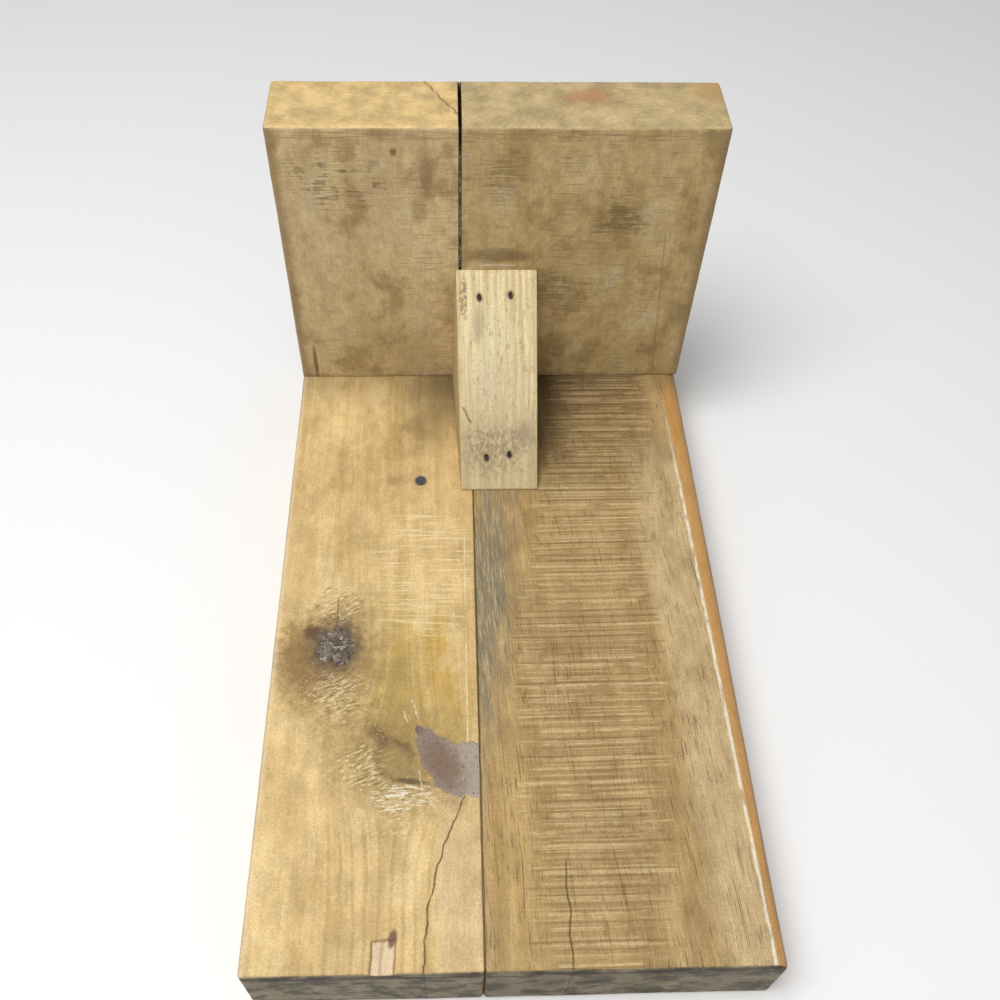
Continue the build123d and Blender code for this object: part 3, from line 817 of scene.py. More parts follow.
def sawn_finish(colours):
    """Right base board: tan-brown wood with dark pores, pale saw lines across a strip, a
    blue-grey stain by the seam and an orange rounded edge."""
    f = Finish("sawn board", roughness=0.6)
    x, y = f.x, f.y
    grain = sawn_grain(f)
    blotch, cloud = grain.blotch, grain.cloud
    colour, rear_shade = sawn_ground(f, grain, colours)
    colour, ground, lines_height = sawn_lines(f, grain, colour)
    # More painted shade at the rear, laid over the saw lines
    colour = f.shade(colour, 1 - rear_shade * 0.26)

    # A crack, the chalky line and the orange edge beyond it, the seam's dirt and the shades
    wander = (f.speckle((6, 10, 6), 41) - 0.5) * 3
    crack = f.strip(x - 20.6 + wander, 0, 0.2, 0.3) * y.rise(-120, -134)
    colour = f.stain(colour, crack * 0.75, (0.13, 0.07, 0.03))
    slope = x - 91.2 - (22 - y) * 0.0165
    chalk = f.speckle((1.5, 9, 2), 42, 3).rise(0.32, 0.52)
    pale = f.strip(slope + (cloud - 0.5) * 0.8, 0, 0.65, 0.45) * chalk
    outside = slope.rise(0.2, 1.6) * y.rise(132, 110)
    colour = f.stain(colour, outside * 0.8 * (cloud * 0.6 + 0.6), (0.60, 0.29, 0.07))
    brown = f.strip(x + (cloud - 0.5) * 2, 99.3, 0.9, 0.9)
    colour = f.stain(colour, outside * brown * 0.55, (0.22, 0.11, 0.05))
    colour = f.stain(colour, pale * y.rise(118, 40) * 0.95, (0.88, 0.80, 0.62))
    seam = f.strip(x + (f.speckle((3, 8, 3), 43) - 0.5) * 0.8, BASE_SEAM + 0.2, 0.3, 0.3)
    colour = f.stain(colour, seam * 0.8, (0.07, 0.045, 0.025))
    # Painted shadow of the wedge block, falling on the board to the block's right
    beside = x.rise(52, 19) * (y + x * 0.3).rise(48, 100)
    colour = f.shade(colour, 1 - beside * 0.50 * (cloud * 0.6 + 0.7))
    # Painted shade along the corner where the board meets the uprights
    colour = f.shade(colour, 1 - f.strip(y, CORNER, 10, 12) * 0.25)
    colour = f.tone(colour, f.speckle((0.9, 0.9, 0.9), 47, 3, 0.7), 0.25, 0.75, 0.32, 0.83)
    side = f.facing_x.rise(0.6, 0.95) * (cloud + blotch - 0.6)
    colour = f.stain(colour, side * 0.7, (0.22, 0.125, 0.045))
    front = abs(f.facing_y).rise(0.55, 0.8)
    colour = f.stain(colour, front, grimy_end(f, (0.27, 0.225, 0.145), (40, -60), 48))
    height = grain.fibres * 0.4 + lines_height - grain.pores * 0.8 - seam - crack * 2
    shine = 0.62 - blotch * 0.10 + ground * 0.1 + front * 0.15
    return f.finish(colour, height, 0.22, shine)


# Marks on the uprights' front: place across and up, reach both ways, strength, tint, how frayed,
# and between which numbers the scuffs bring them out
LEFT_UPRIGHT_MARKS = (
    ((-68, 158), (27, 14), 0.75, (0.17, 0.11, 0.06), 1.6, (0.50, 0.56)),
    ((-32, 163), (3.0, 13), 0.55, (0.20, 0.12, 0.06), 1.2, (0.30, 0.45)),
    ((-35, 145), (3.5, 9), 0.45, (0.22, 0.14, 0.07), 1.4, (0.30, 0.45)),
    ((-45.5, 173), (1.6, 2.0), 0.8, (0.16, 0.10, 0.05), 0.4, (0.0, 0.1)),
    ((-92, 48), (1.0, 11), 0.8, (0.13, 0.08, 0.04), 0.5, (0.0, 0.1)),
    ((-62, 60), (26, 16), 0.35, (0.30, 0.21, 0.10), 1.8, (0.42, 0.58)),
)
RIGHT_UPRIGHT_MARKS = (
    ((57, 138), (11, 9), 0.80, (0.16, 0.10, 0.035), 2.0, (0.42, 0.54)),
    ((25, 99), (17, 10), 0.70, (0.17, 0.105, 0.038), 2.0, (0.42, 0.54)),
    ((3, 162), (11, 12), 0.60, (0.17, 0.105, 0.038), 2.0, (0.42, 0.56)),
    ((45, 118), (20, 10), 0.40, (0.23, 0.15, 0.055), 2.0, (0.40, 0.58)),
    ((2, 117), (17, 4), 0.70, (0.17, 0.11, 0.045), 1.2, (0.30, 0.50)),
)


def left_upright_top(f, small, frayed):
    """End grain of the left upright board, with a crack from its rear edge to the seam."""
    top = end_grain(f, f.x, f.y, (-52, 220), (0.72, 0.51, 0.225), 0.30)
    path = (f.y - 167) * 0.57 + 32.2
    crack = f.strip(f.x + path + frayed * 5, 0, 0.5, 0.6) * small.rise(0.3, 0.5) * f.x.rise(-35, -31)
    return f.stain(top, crack * 0.8, (0.20, 0.11, 0.05))


def right_upright_top(f, frayed):
    """End grain of the right upright board, with a reddish knot and a brown rear corner."""
    top = end_grain(f, f.x, f.y, (66, 100), (0.56, 0.42, 0.21), 0.45)
    knot = f.spot(f.x, f.y, (39.6, 155.4), (9.0, 6.0), 0.5, 8, frayed * 1.4)
    top = f.stain(top, knot * 0.75, (0.42, 0.21, 0.09))
    corner = f.spot(f.x, f.y, (97, 161), (10, 10), 0.5, 0, frayed * 0.8)
    return f.stain(top, corner * 0.7, (0.48, 0.29, 0.11))


def upright_finish(name, light, dark, seed, left_board):
    """An upright board: weathered wood with fibres up the board, faint saw scuffs across it, olive
    and brown blotches, darker rounded sides and end grain on top."""
    f = Finish(name, roughness=0.62)
    x, z = f.x, f.z
    bands = f.speckle((11, 30, 90), seed, 4, 0.6)
    fibres = f.speckle((0.8, 3, 14), seed + 1, 4, 0.65)
    blotch = f.speckle((19, 30, 24), seed + 2, 5, 0.65)
    small = f.speckle((4.5, 5, 6), seed + 3, 4, 0.7)
    scuffs = f.speckle((16, 9, 0.8), seed + 4, 4, 0.65)
    frayed = f.speckle((6, 6, 4), seed + 5, 4, 0.65) - 0.5
    colour = f.mix(bands.rise(0.36, 0.64), dark, light)
    colour = f.stain(colour, blotch.rise(0.50, 0.66) * 0.60, (0.27, 0.175, 0.062))
    colour = f.stain(colour, blotch.rise(0.47, 0.34) * 0.45, (0.60, 0.48, 0.31))
    colour = f.tone(colour, fibres, 0.3, 0.7, 0.13, 0.93)
    colour = f.tone(colour, small, 0.3, 0.7, 0.26, 0.86)
    rubbed = scuffs.rise(0.53, 0.64) * bands.rise(0.47, 0.60)
    colour = f.stain(colour, rubbed * 0.55, (0.19, 0.12, 0.05))
    fore = f.facing_y.rise(-0.3, -0.7)
    marks = LEFT_UPRIGHT_MARKS if left_board else RIGHT_UPRIGHT_MARKS
    for centre, reach, strength, tone, fray, (low, high) in marks:
        mark = f.spot(x, z, centre, reach, 0.5, 0, frayed * fray)
        mark = mark * (scuffs * 0.5 + small * 0.5).rise(low, high)
        colour = f.stain(colour, mark * fore * strength, tone)
    if not left_board:
        line = f.strip(x - 86 + (z - 40) * 0.075, 0, 0.25, 0.3) * z.rise(132, 128)
        colour = f.stain(colour, line * 0.5, (0.17, 0.11, 0.05))
        scratch = f.strip(z - 111.6 + (x - 1) * (x - 1) * 0.006, 0, 0.35, 0.3) * f.strip(x, 1, 8.5, 1.5)
        colour = f.stain(colour, scratch * 0.9, (0.72, 0.56, 0.43))
    side = abs(x).rise(SIDE - 6.5, SIDE - 1.5)
    colour = f.stain(colour, side * 0.70, (0.24, 0.155, 0.06))
    top_edge = f.strip(z, TOP - 4, 2.2, 1.6) * scuffs.rise(0.42, 0.56)
    colour = f.stain(colour, top_edge * 0.5, (0.25, 0.17, 0.08))
    # Painted shade, patchy, in the crease at the foot of the upright where it meets the base
    foot_shade = z.rise(BASE_TOP + 3, BASE_TOP) * small.rise(0.35, 0.6)
    colour = f.stain(colour, foot_shade * 0.6, (0.20, 0.12, 0.05))
    seam = abs(x - UPRIGHT_SEAM + (small - 0.5) * 0.6).rise(0.9, 0.5)
    colour = f.stain(colour, seam * 0.75, (0.06, 0.04, 0.025))
    colour = f.tone(colour, f.speckle((0.9, 0.9, 0.9), seed + 6, 3, 0.7), 0.25, 0.75, 0.24, 0.87)
    top = left_upright_top(f, small, frayed) if left_board else right_upright_top(f, frayed)
    colour = f.stain(colour, f.facing_z.rise(0.45, 0.75), top)
    seam_top = abs(x - UPRIGHT_SEAM).rise(0.9, 0.5)
    colour = f.stain(colour, seam_top * 0.8, (0.06, 0.04, 0.025))
    height = fibres * 0.4 + scuffs * 0.5 + small * 0.3 - seam * 2
    return f.finish(colour, height, 0.18, 0.66 - blotch * 0.12)


def block_finish(colours):
    """Wedge block: pale cream wood with streaks along the slope, a stain at its upper left, a
    smudge by the lower nails and darker side edges."""
    f = Finish("wedge block", roughness=0.6)
    x = f.x
    down = (TOP_OF_BLOCK - f.z + CORNER - f.y) * 0.7071
    along = f.join(x, down, f.y)
    streaks = f.speckle((2.2, 60, 60), 61, 3, 0.6, along)
    fibres = f.speckle((0.5, 16, 16), 62, 3, 0.6, along)
    blotch = f.speckle((9, 24, 30), 63, 3, 0.6, along)
    frayed = f.speckle((3, 4, 4), 64, 4, 0.65) - 0.5
    colour = f.mix(streaks.rise(0.35, 0.65), (0.58, 0.45, 0.235), tuple(colours.block))
    mint = f.spot(x, down, *BLOCK_SPOTS["mint"], frayed * 1.2)
    colour = f.stain(colour, mint * 0.5 * blotch.rise(0.3, 0.6), (0.70, 0.64, 0.42))
    pink = f.spot(x, down, *BLOCK_SPOTS["pink"], frayed * 1.4)
    colour = f.stain(colour, pink * 0.55, (0.60, 0.48, 0.30))
    low = down.rise(58, 84)
    colour = f.stain(colour, low * 0.45, (0.44, 0.35, 0.19))
    colour = f.tone(colour, fibres, 0.3, 0.7, 0.16, 0.91)
    flecks = f.speckle((1.5, 6, 6), 66, 4, 0.7, along).rise(0.56, 0.64)
    colour = f.stain(colour, flecks * 0.5, (0.33, 0.235, 0.12))
    colour = f.tone(colour, f.speckle((0.9, 0.9, 0.9), 67, 3, 0.7), 0.25, 0.75, 0.24, 0.88)
    smudge = f.spot(x, down, *BLOCK_SPOTS["smudge"], frayed * 2.0)
    grime = f.speckle((1.6, 2.0, 2), 65, 3, 0.7).rise(0.40, 0.58)
    colour = f.stain(colour, smudge * grime * 0.62, (0.22, 0.16, 0.10))
    smear = f.spot(x, down, *BLOCK_SPOTS["smear"], frayed * 1.4)
    colour = f.stain(colour, smear * 0.45, (0.24, 0.17, 0.12))
    stain = f.spot(x, down, *BLOCK_SPOTS["stain"], frayed * 0.6)
    colour = f.stain(colour, stain * grime.rise(0.2, 0.6) * 0.8, (0.26, 0.17, 0.11))
    scratch = f.strip(x + 13.6 - (down - 70) * 0.5 + frayed * 2, 0, 0.45, 0.4) * f.strip(down, 69.5, 4, 1)
    colour = f.stain(colour, scratch * 0.85, (0.13, 0.10, 0.07))
    grey = f.spot(x, down, *BLOCK_SPOTS["grey"], frayed * 1.0)
    colour = f.stain(colour, grey * 0.55, (0.36, 0.30, 0.17))
    face = f.facing_z.rise(0.3, 0.6)
    edge = (x - 16.5).rise(0, 3.5) + (-x - 13.5).rise(0, 3.5)
    colour = f.stain(colour, face * edge.lower(1.0) * streaks * 0.35, (0.40, 0.30, 0.13))
    colour = f.stain(colour, (1 - face) * 0.7, (0.50, 0.36, 0.16))
    # Each nail: a dirty halo round it, and its hole painted near black as painted shade in the hole
    for place, down_place in PIN_PLACES:
        halo = f.spot(x, down, (place, down_place), (1.9, 2.6), 0.4, -12, frayed * 0.5)
        hole = f.spot(x, down, (place, down_place), (1.05, 1.8), 0.2, -12)
        colour = f.stain(colour, halo * 0.5, (0.22, 0.15, 0.09))
        colour = f.stain(colour, hole, (0.045, 0.032, 0.025))
    return f.finish(colour, fibres * 0.5 + streaks * 0.3, 0.16, 0.66 - blotch * 0.1)


def filler_finish(name, dark, pale, seed):
    """Knot filler: dark pitted paste with pale hair cracks and chips."""
    f = Finish(name, roughness=0.75)
    body = f.speckle((4, 4, 4), seed, 5, 0.7)
    grain = f.speckle((0.8, 0.8, 0.8), seed + 1, 3, 0.7)
    colour = f.mix(body.rise(0.38, 0.62), dark, pale)
    chips = f.speckle((2.2, 0.8, 1), seed + 2, 4, 0.75).rise(0.56, 0.66)
    colour = f.stain(colour, chips * 0.7, (0.55, 0.47, 0.38))
    hair = abs(f.speckle((6, 6, 6), seed + 3, 3, 0.6) - 0.5).rise(0.022, 0.006) * body.rise(0.42, 0.55)
    colour = f.stain(colour, hair * 0.9, (0.88, 0.80, 0.68))
    pits = f.speckle((2.0, 1.6, 2), seed + 4, 3, 0.6).rise(0.56, 0.66)
    colour = f.stain(colour, pits * 0.8, (0.035, 0.026, 0.02))
    colour = f.shade(colour, grain * 0.9 + 0.55)
    return f.finish(colour, grain + chips * 0.8 + hair - pits, 0.4, 0.7 + body * 0.1)


def lower_filler_finish():
    """Filler of the lower knot: mauve-brown in the middle, pale grey by the seam, with chips."""
    f = Finish("lower knot filler", roughness=0.75)
    frayed = f.speckle((3, 3, 3), 81, 5, 0.7) - 0.5
    grain = f.speckle((0.7, 0.7, 0.7), 82, 3, 0.7)
    colour = f.mix(f.x.rise(-30, -14) * 0.7 + frayed * 0.9, (0.30, 0.235, 0.185), (0.47, 0.39, 0.30))
    mauve = f.spot(f.x, f.y, (-26.5, -88), (6.5, 12), 0.6, 35, frayed * 1.6)
    colour = f.stain(colour, mauve * 0.8, (0.22, 0.135, 0.09))
    neck = f.spot(f.x, f.y, (-39, -73), (4, 3), 0.6, 0, frayed * 1.6)
    colour = f.stain(colour, neck * 0.8, (0.13, 0.10, 0.085))
    hair = abs(f.speckle((8, 8, 8), 83, 3, 0.6) - 0.5).rise(0.012, 0.003) * frayed.rise(0.02, 0.12)
    colour = f.stain(colour, hair * 0.6, (0.80, 0.70, 0.54))
    pits = f.speckle((1.3, 1.3, 1.3), 84, 2).rise(0.67, 0.73)
    colour = f.stain(colour, pits * 0.7, (0.08, 0.055, 0.045))
    colour = f.shade(colour, grain * 0.8 + 0.6)
    return f.finish(colour, grain + hair * 0.8 - pits, 0.3)


def steel_finish(name, tint, roughness, seed):
    """Bare steel with a dulled, spotted surface."""
    f = Finish(name, roughness=roughness, metallic=0.8)
    spots = f.speckle((0.6, 0.6, 0.6), seed, 3, 0.6)
    colour = f.mix(spots.rise(0.4, 0.65), tint, tuple(part * 0.45 for part in tint))
    return f.finish(colour, spots, 0.05, spots * 0.3 + (roughness - 0.15))


def dowel_finish():
    """Turned hardwood dowel with fibres along X."""
    f = Finish("dowel wood", roughness=0.55)
    fibres = f.speckle((18, 0.6, 0.6), 91, 3)
    colour = f.mix(fibres.rise(0.3, 0.7), (0.55, 0.38, 0.22), (0.74, 0.57, 0.37))
    return f.finish(colour, fibres, 0.06)


def floor_finish(colours):
    """Plain pale floor."""
    f = Finish("pale floor", roughness=0.9)
    return f.finish(f.mix(f.speckle((400, 400, 400), 95) * 0.3, tuple(colours.floor), (0.95, 0.95, 0.94)))


# ---------------------------------------------------------------------------
# Sizes and colours that a user would change
# ---------------------------------------------------------------------------


def tint(name, description, default):
    """A colour property."""
    return bpy.props.FloatVectorProperty(
        name=name, description=description, default=default, subtype="COLOR", size=3, min=0, max=1
    )


def length(name, description, default):
    """A length property in metres."""
    return bpy.props.FloatProperty(
        name=name, description=description, default=default, unit="LENGTH", min=0, precision=5
    )


class DoorStopColours(bpy.types.PropertyGroup):
    """Colours of the woods and the floor."""

    honey: tint("Honey board", "Light bands of the left base board", (0.74, 0.53, 0.245))
    honey_dark: tint("Honey board, dark", "Dark bands of the left base board", (0.60, 0.41, 0.165))
    sawn: tint("Sawn board", "Light bands of the right base board", (0.52, 0.355, 0.155))
    sawn_dark: tint("Sawn board, dark", "Dark bands of the right base board", (0.40, 0.26, 0.10))
    grey: tint("Left upright", "Light bands of the left upright board", (0.62, 0.47, 0.245))
    grey_dark: tint("Left upright, dark", "Dark bands of the left upright board", (0.53, 0.39, 0.20))
    olive: tint("Right upright", "Light bands of the right upright board", (0.52, 0.38, 0.18))
    olive_dark: tint("Right upright, dark", "Dark bands of the right upright board", (0.44, 0.31, 0.13))
    block: tint("Wedge block", "Pale wood of the wedge block", (0.78, 0.64, 0.37))
    floor: tint("Floor", "The stage's floor", (0.93, 0.93, 0.93))


class DoorStopSizes(bpy.types.PropertyGroup):
    """Fineness of the shapes and the rounding of worn edges."""

    step: length("Step along", "Distance between points along a board", 0.001)
    saw_step: length("Step over saw marks", "Distance between points along the sawn board", 0.00078)
    across: length("Step across", "Distance between points across a board", 0.0012)
    left_round: length("Left edge", "Rounding of the base's left edge", 0.0025)
    right_round: length("Right edge", "Rounding of the base's right upper edge", 0.007)
    end_round: length("End edges", "Rounding of the base's end edges", 0.0024)
    upright_round: length("Upright edges", "Rounding of the upright's edges", 0.0018)
    seam_round: length("Seam edges", "Rounding of the edges beside a seam", 0.0003)


class DoorStopStage(bpy.types.PropertyGroup):
    """Camera, lights and floor."""

    lens: bpy.props.FloatProperty(
        name="Lens", description="Focal length", default=37.56, unit="CAMERA", min=1
    )
    place: bpy.props.FloatVectorProperty(
        name="Camera", description="Place of the camera", default=(-0.0218, -0.2638, 0.4354),
        subtype="TRANSLATION", size=3,
    )
    pitch: bpy.props.FloatProperty(
        name="Pitch", description="How far the camera looks down", default=math.radians(52.01),
        subtype="ANGLE",
    )
    yaw: bpy.props.FloatProperty(
        name="Yaw", description="How far the camera turns left", default=math.radians(-2.84),
        subtype="ANGLE",
    )
    roll: bpy.props.FloatProperty(
        name="Roll", description="How far the camera tips", default=math.radians(1.72), subtype="ANGLE"
    )
    key: bpy.props.FloatProperty(
        name="Key light", description="Overhead light", default=13.2, unit="POWER", min=0
    )
    fill: bpy.props.FloatProperty(
        name="Fill light", description="Soft front light", default=1.7, unit="POWER", min=0
    )
    sky: bpy.props.FloatProperty(
        name="Surround", description="Strength of the pale surround", default=0.34, min=0
    )


# ---------------------------------------------------------------------------
# Pieces
# ---------------------------------------------------------------------------

# Wedge block: how far its left side leans in, its blunt edge, and its nails as places across
# the sloping face and down from the upper edge
LEAN_UP = 2.0
LEAN_FORWARD = 3.6
BLUNT = 0.9
TOP_OF_BLOCK = BLOCK[1].z / MM
BLOCK_FRONT = BLOCK[0].y / MM
PIN_PLACES = ((-7.4, 13.3), (7.7, 12.3), (-4.4, 90.2), (6.7, 88.9))

# The fillers in the two knots: their outlines from their middles, and the lower one's middle
UPPER_LUMP = (
    (-8.6, 0.5), (-5.5, 6.5), (0.4, 10.4), (5.8, 6.4),
    (9.0, 0.2), (6.6, -7.4), (0.6, -10.6), (-6.0, -7.0),
)
LOWER_LUMP = (
    (11.7, 13.0), (6.5, 11.2), (1.0, 10.4), (-4.5, 15.4), (-10.5, 20.6), (-17.0, 21.6),
    (-14.0, 15.0), (-12.2, 7.0), (-7.0, -3.6), (0.0, -11.4), (6.5, -14.0), (11.7, -15.0),
)
LOWER_LUMP_PLACE = (BASE_SEAM - 12, FRONT + 78)

# Stage: each light's place and size in metres, and how far the picture is shifted sideways
OVERHEAD_LIGHT = ((-0.35, -0.25, 1.25), 0.7)
FRONT_LIGHT = ((0.5, -1.3, 0.7), 1.2)
CAMERA_SHIFT = 0.0169


def block_rows():
    """Wedge block as rows of outlines from left to right. Each outline is the triangle with blunt
    tips; over both sides it shrinks towards the triangle's incentre, along a small quarter
    circle, and the left side's places follow a leaning plane."""
    corner = np.array([CORNER, BASE_TOP])
    rise, run = TOP_OF_BLOCK - BASE_TOP, CORNER - BLOCK_FRONT
    tips = [(0, 0), (0, rise), (-BLUNT, rise), (-run, BLUNT), (-run, 0)]
    outline = []
    for start, end, step in zip(tips, tips[1:] + tips[:1], (2.4, 0.3, 0.55, 0.3, 2.4)):
        start, end = np.array(start, float), np.array(end, float)
        count = max(2, round(np.hypot(*(end - start)) / step))
        outline.append(start + (end - start) * np.linspace(0, 1, count, endpoint=False)[:, None])
    outline = np.concatenate(outline) + corner
    inner = (rise + run - math.hypot(rise, run)) / 2
    middle = corner + np.array([-inner, inner])
    turn = np.linspace(0, 1, 6) * math.pi / 2
    edge = 0.7
    inset = np.concatenate([np.linspace(inner, edge, 14)[:-1], edge * (1 - np.sin(turn))])
    inside = np.concatenate([np.zeros(13), edge * (1 - np.cos(turn))])
    width = (BLOCK[1].x - BLOCK[0].x) / MM
    straight = np.arange(edge + 0.55, width - edge - 0.3, 0.55)
    place = np.concatenate([inside, straight, width - inside[::-1]]) / width
    inset = np.concatenate([inset, np.zeros(len(straight)), inset[::-1]])
    shape = middle + (outline - middle) * (1 - inset / inner)[:, None, None]
    left = BLOCK[0].x / MM + LEAN_UP * (shape[..., 1] - BASE_TOP) / rise
    left = left + LEAN_FORWARD * (CORNER - shape[..., 0]) / run
    x = left + (BLOCK[1].x / MM - left) * place[:, None]
    return np.dstack([x, shape])


def block_relief(points, normals):
    """Wedge block: fibres down the slope, small lumps, a worn upper edge and four nail holes."""
    down = (TOP_OF_BLOCK - points[:, 2] + CORNER - points[:, 1]) * math.sqrt(0.5)
    along = np.stack([points[:, 0], down, points[:, 1]], axis=1)
    height = 0.10 * noise(along, (9, 26, 20), 51) - 0.10 + 0.04 * noise(along, (1.3, 18, 18), 52)
    face = ramp(normals[:, 2], 0.3, 0.6) * ramp(-normals[:, 1], 0.3, 0.6)
    height -= face * 0.5 * ramp(-down, -2.4, -0.4) * (1 + noise(along, (5, 5, 5), 53))
    for across, place in PIN_PLACES:
        away = np.hypot((points[:, 0] - across) / 1.15, (down - place) / 1.85)
        height -= face * 1.3 * ramp(-away, -1.15, -0.75)
    return height


def filler_rows(centre, outline, top, dome, depth):
    """A patch of filler as rings from its crown to its rim and back below it: the outline's
    distance from the centre at each angle, times the ring's share, with a domed crown."""
    outline = np.array(outline, float)
    angle = np.arctan2(outline[:, 1], outline[:, 0])
    order = np.argsort(angle)
    around = np.linspace(-math.pi, math.pi, 120, endpoint=False)
    reach = np.hypot(outline[order, 0], outline[order, 1])
    distance = np.interp(around, angle[order], reach, period=2 * math.pi)
    ragged = 0.97 + 0.05 * np.sin(5 * around + 1) + 0.04 * np.sin(13 * around)
    distance *= ragged + 0.03 * np.sin(29 * around)
    share = np.concatenate([np.linspace(0, 1, 28), np.linspace(1, 0, 8)])
    z = np.concatenate([top - dome * np.linspace(0, 1, 28) ** 3, top - depth * np.ones(8)])
    x = centre[0] + share[:, None] * distance * np.cos(around)
    y = centre[1] + share[:, None] * distance * np.sin(around)
    return np.dstack([x, y, np.broadcast_to(z[:, None], x.shape)])


def filler_relief(points, normals):
    """Filler: coarse and fine lumps on its crown."""
    crown = ramp(normals[:, 2], 0.4, 0.9)
    return crown * (0.22 * noise(points, (2.4, 2.4, 2.4), 71) + 0.12 * noise(points, (0.9, 0.9, 0.9), 72))


def open_seam(points, normals):
    """Draws the boards back from the upright's open seam, at its front and top."""
    beside = ramp(np.abs(normals[:, 0]), 0.5, 0.8) * (np.abs(points[:, 0] - UPRIGHT_SEAM) < 1)
    upper = ramp(points[:, 2], TOP - 6, TOP - 4) * ramp(-points[:, 1], -CORNER - 34, -CORNER - 31)
    shallow = np.maximum(ramp(-points[:, 1], -CORNER - 9, -CORNER - 7), upper)
    return -0.5 * beside * shallow


def upright_shape(points, normals):
    """Relief of an upright board, with its half of the open seam."""
    return upright_relief(points, normals) + open_seam(points, normals)


class DOORSTOP_OT_base_boards(bpy.types.Operator):
    """Build the two base boards"""

    bl_idname = "doorstop.base_boards"
    bl_label = "Base Boards"

    def execute(self, context):
        sizes, colours = context.scene.door_stop_sizes, context.scene.door_stop_colours
        left, right, seam = (
            value / MM for value in (sizes.left_round, sizes.right_round, sizes.seam_round)
        )
        ends = (sizes.end_round / MM,) * 2
        rows = plank_rows(BASE_LEFT, 1, sizes.step / MM, sizes.across / MM, (left, seam, seam, left), ends)
        make_piece(
            "base_board_left_worn", rows, honey_relief, honey_finish(colours),
            ["base_board_left"],
        )
        radii = (seam, left, right, seam)
        rows = plank_rows(BASE_RIGHT, 1, sizes.saw_step / MM, sizes.across * 1.35 / MM, radii, ends)
        make_piece(
            "base_board_right_worn", rows, sawn_relief, sawn_finish(colours),
            ["base_board_right"],
        )
        return {"FINISHED"}


class DOORSTOP_OT_upright_boards(bpy.types.Operator):
    """Build the two upright boards"""

    bl_idname = "doorstop.upright_boards"
    bl_label = "Upright Boards"

    def execute(self, context):
        sizes, colours = context.scene.door_stop_sizes, context.scene.door_stop_colours
        outer, seam = sizes.upright_round / MM, sizes.seam_round / MM
        step, across = sizes.step * 0.8 / MM, sizes.across * 0.9 / MM
        ends = (seam, outer * 0.85)
        rows = plank_rows(UPRIGHT_LEFT, 2, step, across, (outer, seam, seam, outer), ends)
        finish = upright_finish(
            "left upright board", tuple(colours.grey), tuple(colours.grey_dark), 101, True
        )
        make_piece(
            "upright_board_left_worn", rows, upright_shape, finish,
            ["upright_board_left"],
        )
        rows = plank_rows(UPRIGHT_RIGHT, 2, step, across, (seam, outer, outer, seam), ends)
        finish = upright_finish(
            "right upright board", tuple(colours.olive), tuple(colours.olive_dark), 121, False
        )
        make_piece(
            "upright_board_right_worn", rows, upright_shape, finish,
            ["upright_board_right"],
        )
        return {"FINISHED"}


class DOORSTOP_OT_wedge_block(bpy.types.Operator):
    """Build the wedge block in the corner"""

    bl_idname = "doorstop.wedge_block"
    bl_label = "Wedge Block"

    def execute(self, context):
        finish = block_finish(context.scene.door_stop_colours)
        make_piece(
            "corner_brace_worn", block_rows(), block_relief, finish, ["corner_brace"]
        )
        return {"FINISHED"}


class DOORSTOP_OT_fillers(bpy.types.Operator):
    """Build the knot fillers and give the seam filler its finish"""

    bl_idname = "doorstop.fillers"
    bl_label = "Fillers"

    def execute(self, context):
        rows = filler_rows(UPPER_KNOT, UPPER_LUMP, BASE_TOP - 0.1, 0.75, 4)
        finish = filler_finish("upper knot filler", (0.085, 0.065, 0.05), (0.27, 0.215, 0.165), 71)
        make_piece("upper_knot_lump", rows, filler_relief, finish, ["upper_knot_filler"])
        rows = filler_rows(LOWER_LUMP_PLACE, LOWER_LUMP, BASE_TOP - 0.05, 0.55, 4)
        rows[..., 0] = np.minimum(rows[..., 0], BASE_SEAM - 0.2)
        make_piece(
            "lower_knot_lump", rows, filler_relief, lower_filler_finish(),
            ["lower_knot_filler"],
        )
        seam = filler_finish("seam filler", (0.13, 0.115, 0.10), (0.42, 0.38, 0.33), 75)
        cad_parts["upright_seam_filler"].material_slots[0].material = seam
        return {"FINISHED"}


class DOORSTOP_OT_fasteners(bpy.types.Operator):
    """Give the nails, screws and dowels their finishes"""

    bl_idname = "doorstop.fasteners"
    bl_label = "Fasteners"

    def execute(self, context):
        bright = steel_finish("zinc screw", (0.55, 0.54, 0.52), 0.4, 85)
        dull = steel_finish("blued old nail", (0.16, 0.165, 0.175), 0.6, 86)
        pin = steel_finish("brad steel", (0.07, 0.06, 0.05), 0.7, 87)
        dowel = dowel_finish()
        chosen = {
            "corner_screws_left": bright, "corner_screws_right": bright, "old_nail": dull,
            "brace_top_pins": pin, "brace_bottom_pins": pin,
            "base_edge_dowels": dowel, "upright_edge_dowels": dowel,
        }
        for node, finish in chosen.items():
            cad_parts[node].material_slots[0].material = finish
        return {"FINISHED"}


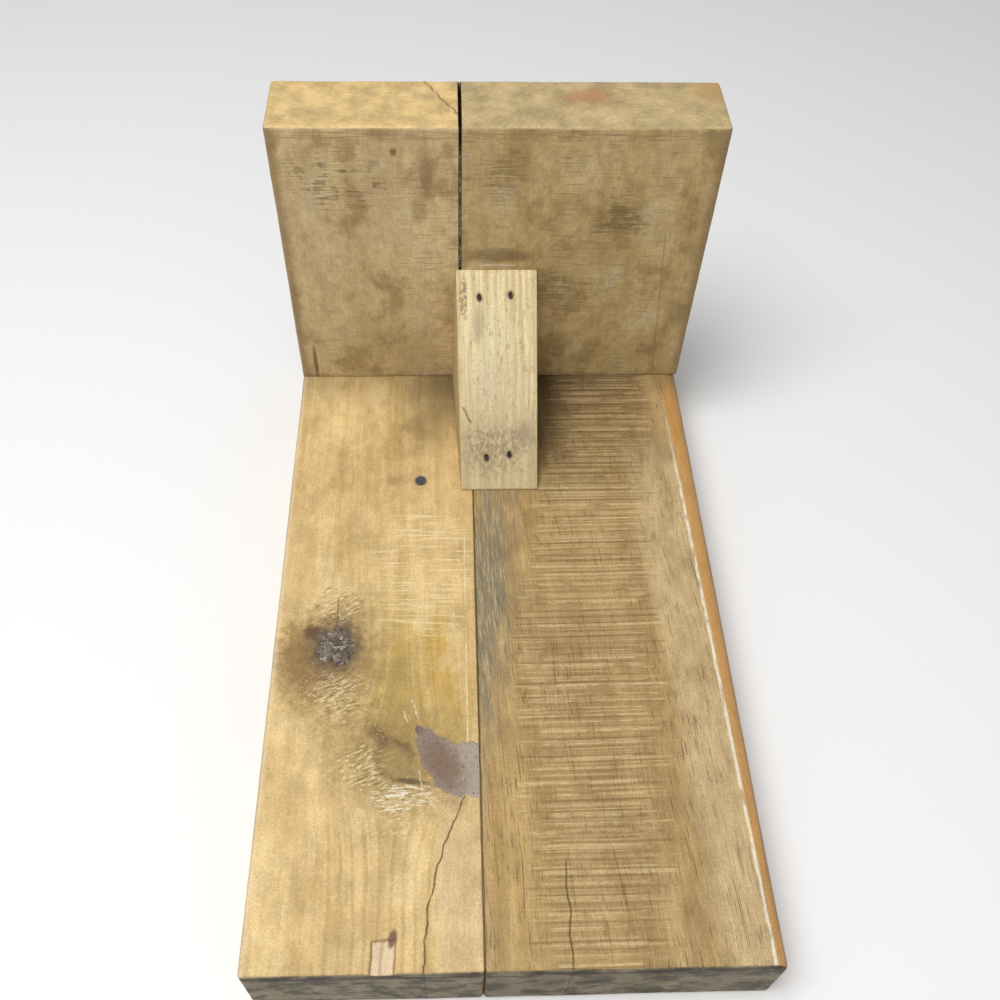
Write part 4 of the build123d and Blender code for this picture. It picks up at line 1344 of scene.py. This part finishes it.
class DOORSTOP_OT_stage(bpy.types.Operator):
    """Set the camera, the soft studio lights and the pale floor"""

    bl_idname = "doorstop.stage"
    bl_label = "Stage"

    def execute(self, context):
        scene, stage = context.scene, context.scene.door_stop_stage
        scene.view_settings.view_transform = "Standard"
        world = bpy.data.worlds.new("pale surround")
        world.use_nodes = True
        world.node_tree.nodes["Background"].inputs["Color"].default_value = (1, 1, 1, 1)
        world.node_tree.nodes["Background"].inputs["Strength"].default_value = stage.sky
        scene.world = world

        floor = bpy.data.meshes.new("floor")
        x, y = np.meshgrid(np.linspace(-4, 4, 9), np.linspace(-4, 4, 9))
        points = np.stack([x.ravel(), y.ravel(), np.zeros(x.size)], axis=1)
        index = np.arange(81).reshape(9, 9)
        quads = np.stack([index[:-1, :-1], index[:-1, 1:], index[1:, 1:], index[1:, :-1]], -1)
        floor.from_pydata(points, [], quads.reshape(-1, 4))
        floor.materials.append(floor_finish(scene.door_stop_colours))
        ground = bpy.data.objects.new("floor", floor)
        scene.collection.objects.link(ground)

        self.add_light("overhead light", *OVERHEAD_LIGHT, stage.key)
        self.add_light("front light", *FRONT_LIGHT, stage.fill)

        camera = bpy.data.cameras.new("camera")
        camera.sensor_width = 36
        camera.lens = stage.lens
        camera.shift_x = CAMERA_SHIFT
        camera.clip_start = 0.01
        viewer = bpy.data.objects.new("camera", camera)
        scene.collection.objects.link(viewer)
        viewer.matrix_world = self.looking(stage)
        scene.camera = viewer
        return {"FINISHED"}

    def add_light(self, name, place, size, power):
        """A square area light that looks at the middle of the stop."""
        light = bpy.data.lights.new(name, "AREA")
        light.size = size
        light.energy = power
        lamp = bpy.data.objects.new(name, light)
        bpy.context.scene.collection.objects.link(lamp)
        lamp.location = place
        aim = Vector((0, 0, 0.05)) - Vector(place)
        lamp.rotation_mode = "QUATERNION"
        lamp.rotation_quaternion = aim.to_track_quat("-Z", "Y")

    def looking(self, stage):
        """The camera's matrix from its place and its yaw, pitch and roll."""
        yaw, pitch = stage.yaw, stage.pitch
        ahead = Vector(
            (-math.sin(yaw) * math.cos(pitch), math.cos(yaw) * math.cos(pitch), -math.sin(pitch))
        )
        level = Vector((math.cos(yaw), math.sin(yaw), 0))
        over = level.cross(ahead)
        right = level * math.cos(stage.roll) + over * math.sin(stage.roll)
        up = over * math.cos(stage.roll) - level * math.sin(stage.roll)
        turned = Matrix((right, up, -ahead)).transposed().to_4x4()
        return Matrix.Translation(stage.place) @ turned


OPERATORS = (
    DOORSTOP_OT_base_boards,
    DOORSTOP_OT_upright_boards,
    DOORSTOP_OT_wedge_block,
    DOORSTOP_OT_fillers,
    DOORSTOP_OT_fasteners,
    DOORSTOP_OT_stage,
)


class DOORSTOP_PT_panel(bpy.types.Panel):
    """Lists the door stop's operators"""

    bl_label = "Door Stop"
    bl_idname = "DOORSTOP_PT_panel"
    bl_space_type = "VIEW_3D"
    bl_region_type = "UI"
    bl_category = "Door Stop"

    def draw(self, context):
        for operator in OPERATORS:
            self.layout.operator(operator.bl_idname)
        for group in ("door_stop_sizes", "door_stop_colours", "door_stop_stage"):
            values = getattr(context.scene, group)
            for name in values.__annotations__:
                self.layout.prop(values, name)


CLASSES = (DoorStopColours, DoorStopSizes, DoorStopStage, *OPERATORS, DOORSTOP_PT_panel)


def register():
    """Registers the classes and hangs the property groups on the scene."""
    for cls in CLASSES:
        bpy.utils.register_class(cls)
    bpy.types.Scene.door_stop_colours = bpy.props.PointerProperty(type=DoorStopColours)
    bpy.types.Scene.door_stop_sizes = bpy.props.PointerProperty(type=DoorStopSizes)
    bpy.types.Scene.door_stop_stage = bpy.props.PointerProperty(type=DoorStopStage)


def unregister():
    """Undoes register."""
    del bpy.types.Scene.door_stop_stage
    del bpy.types.Scene.door_stop_sizes
    del bpy.types.Scene.door_stop_colours
    for cls in reversed(CLASSES):
        bpy.utils.unregister_class(cls)


def main():
    """Registers the classes, and builds every piece and the stage."""
    register()
    for operator in OPERATORS:
        group, name = operator.bl_idname.split(".")
        getattr(getattr(bpy.ops, group), name)()


if __name__ == "__main__":
    main()
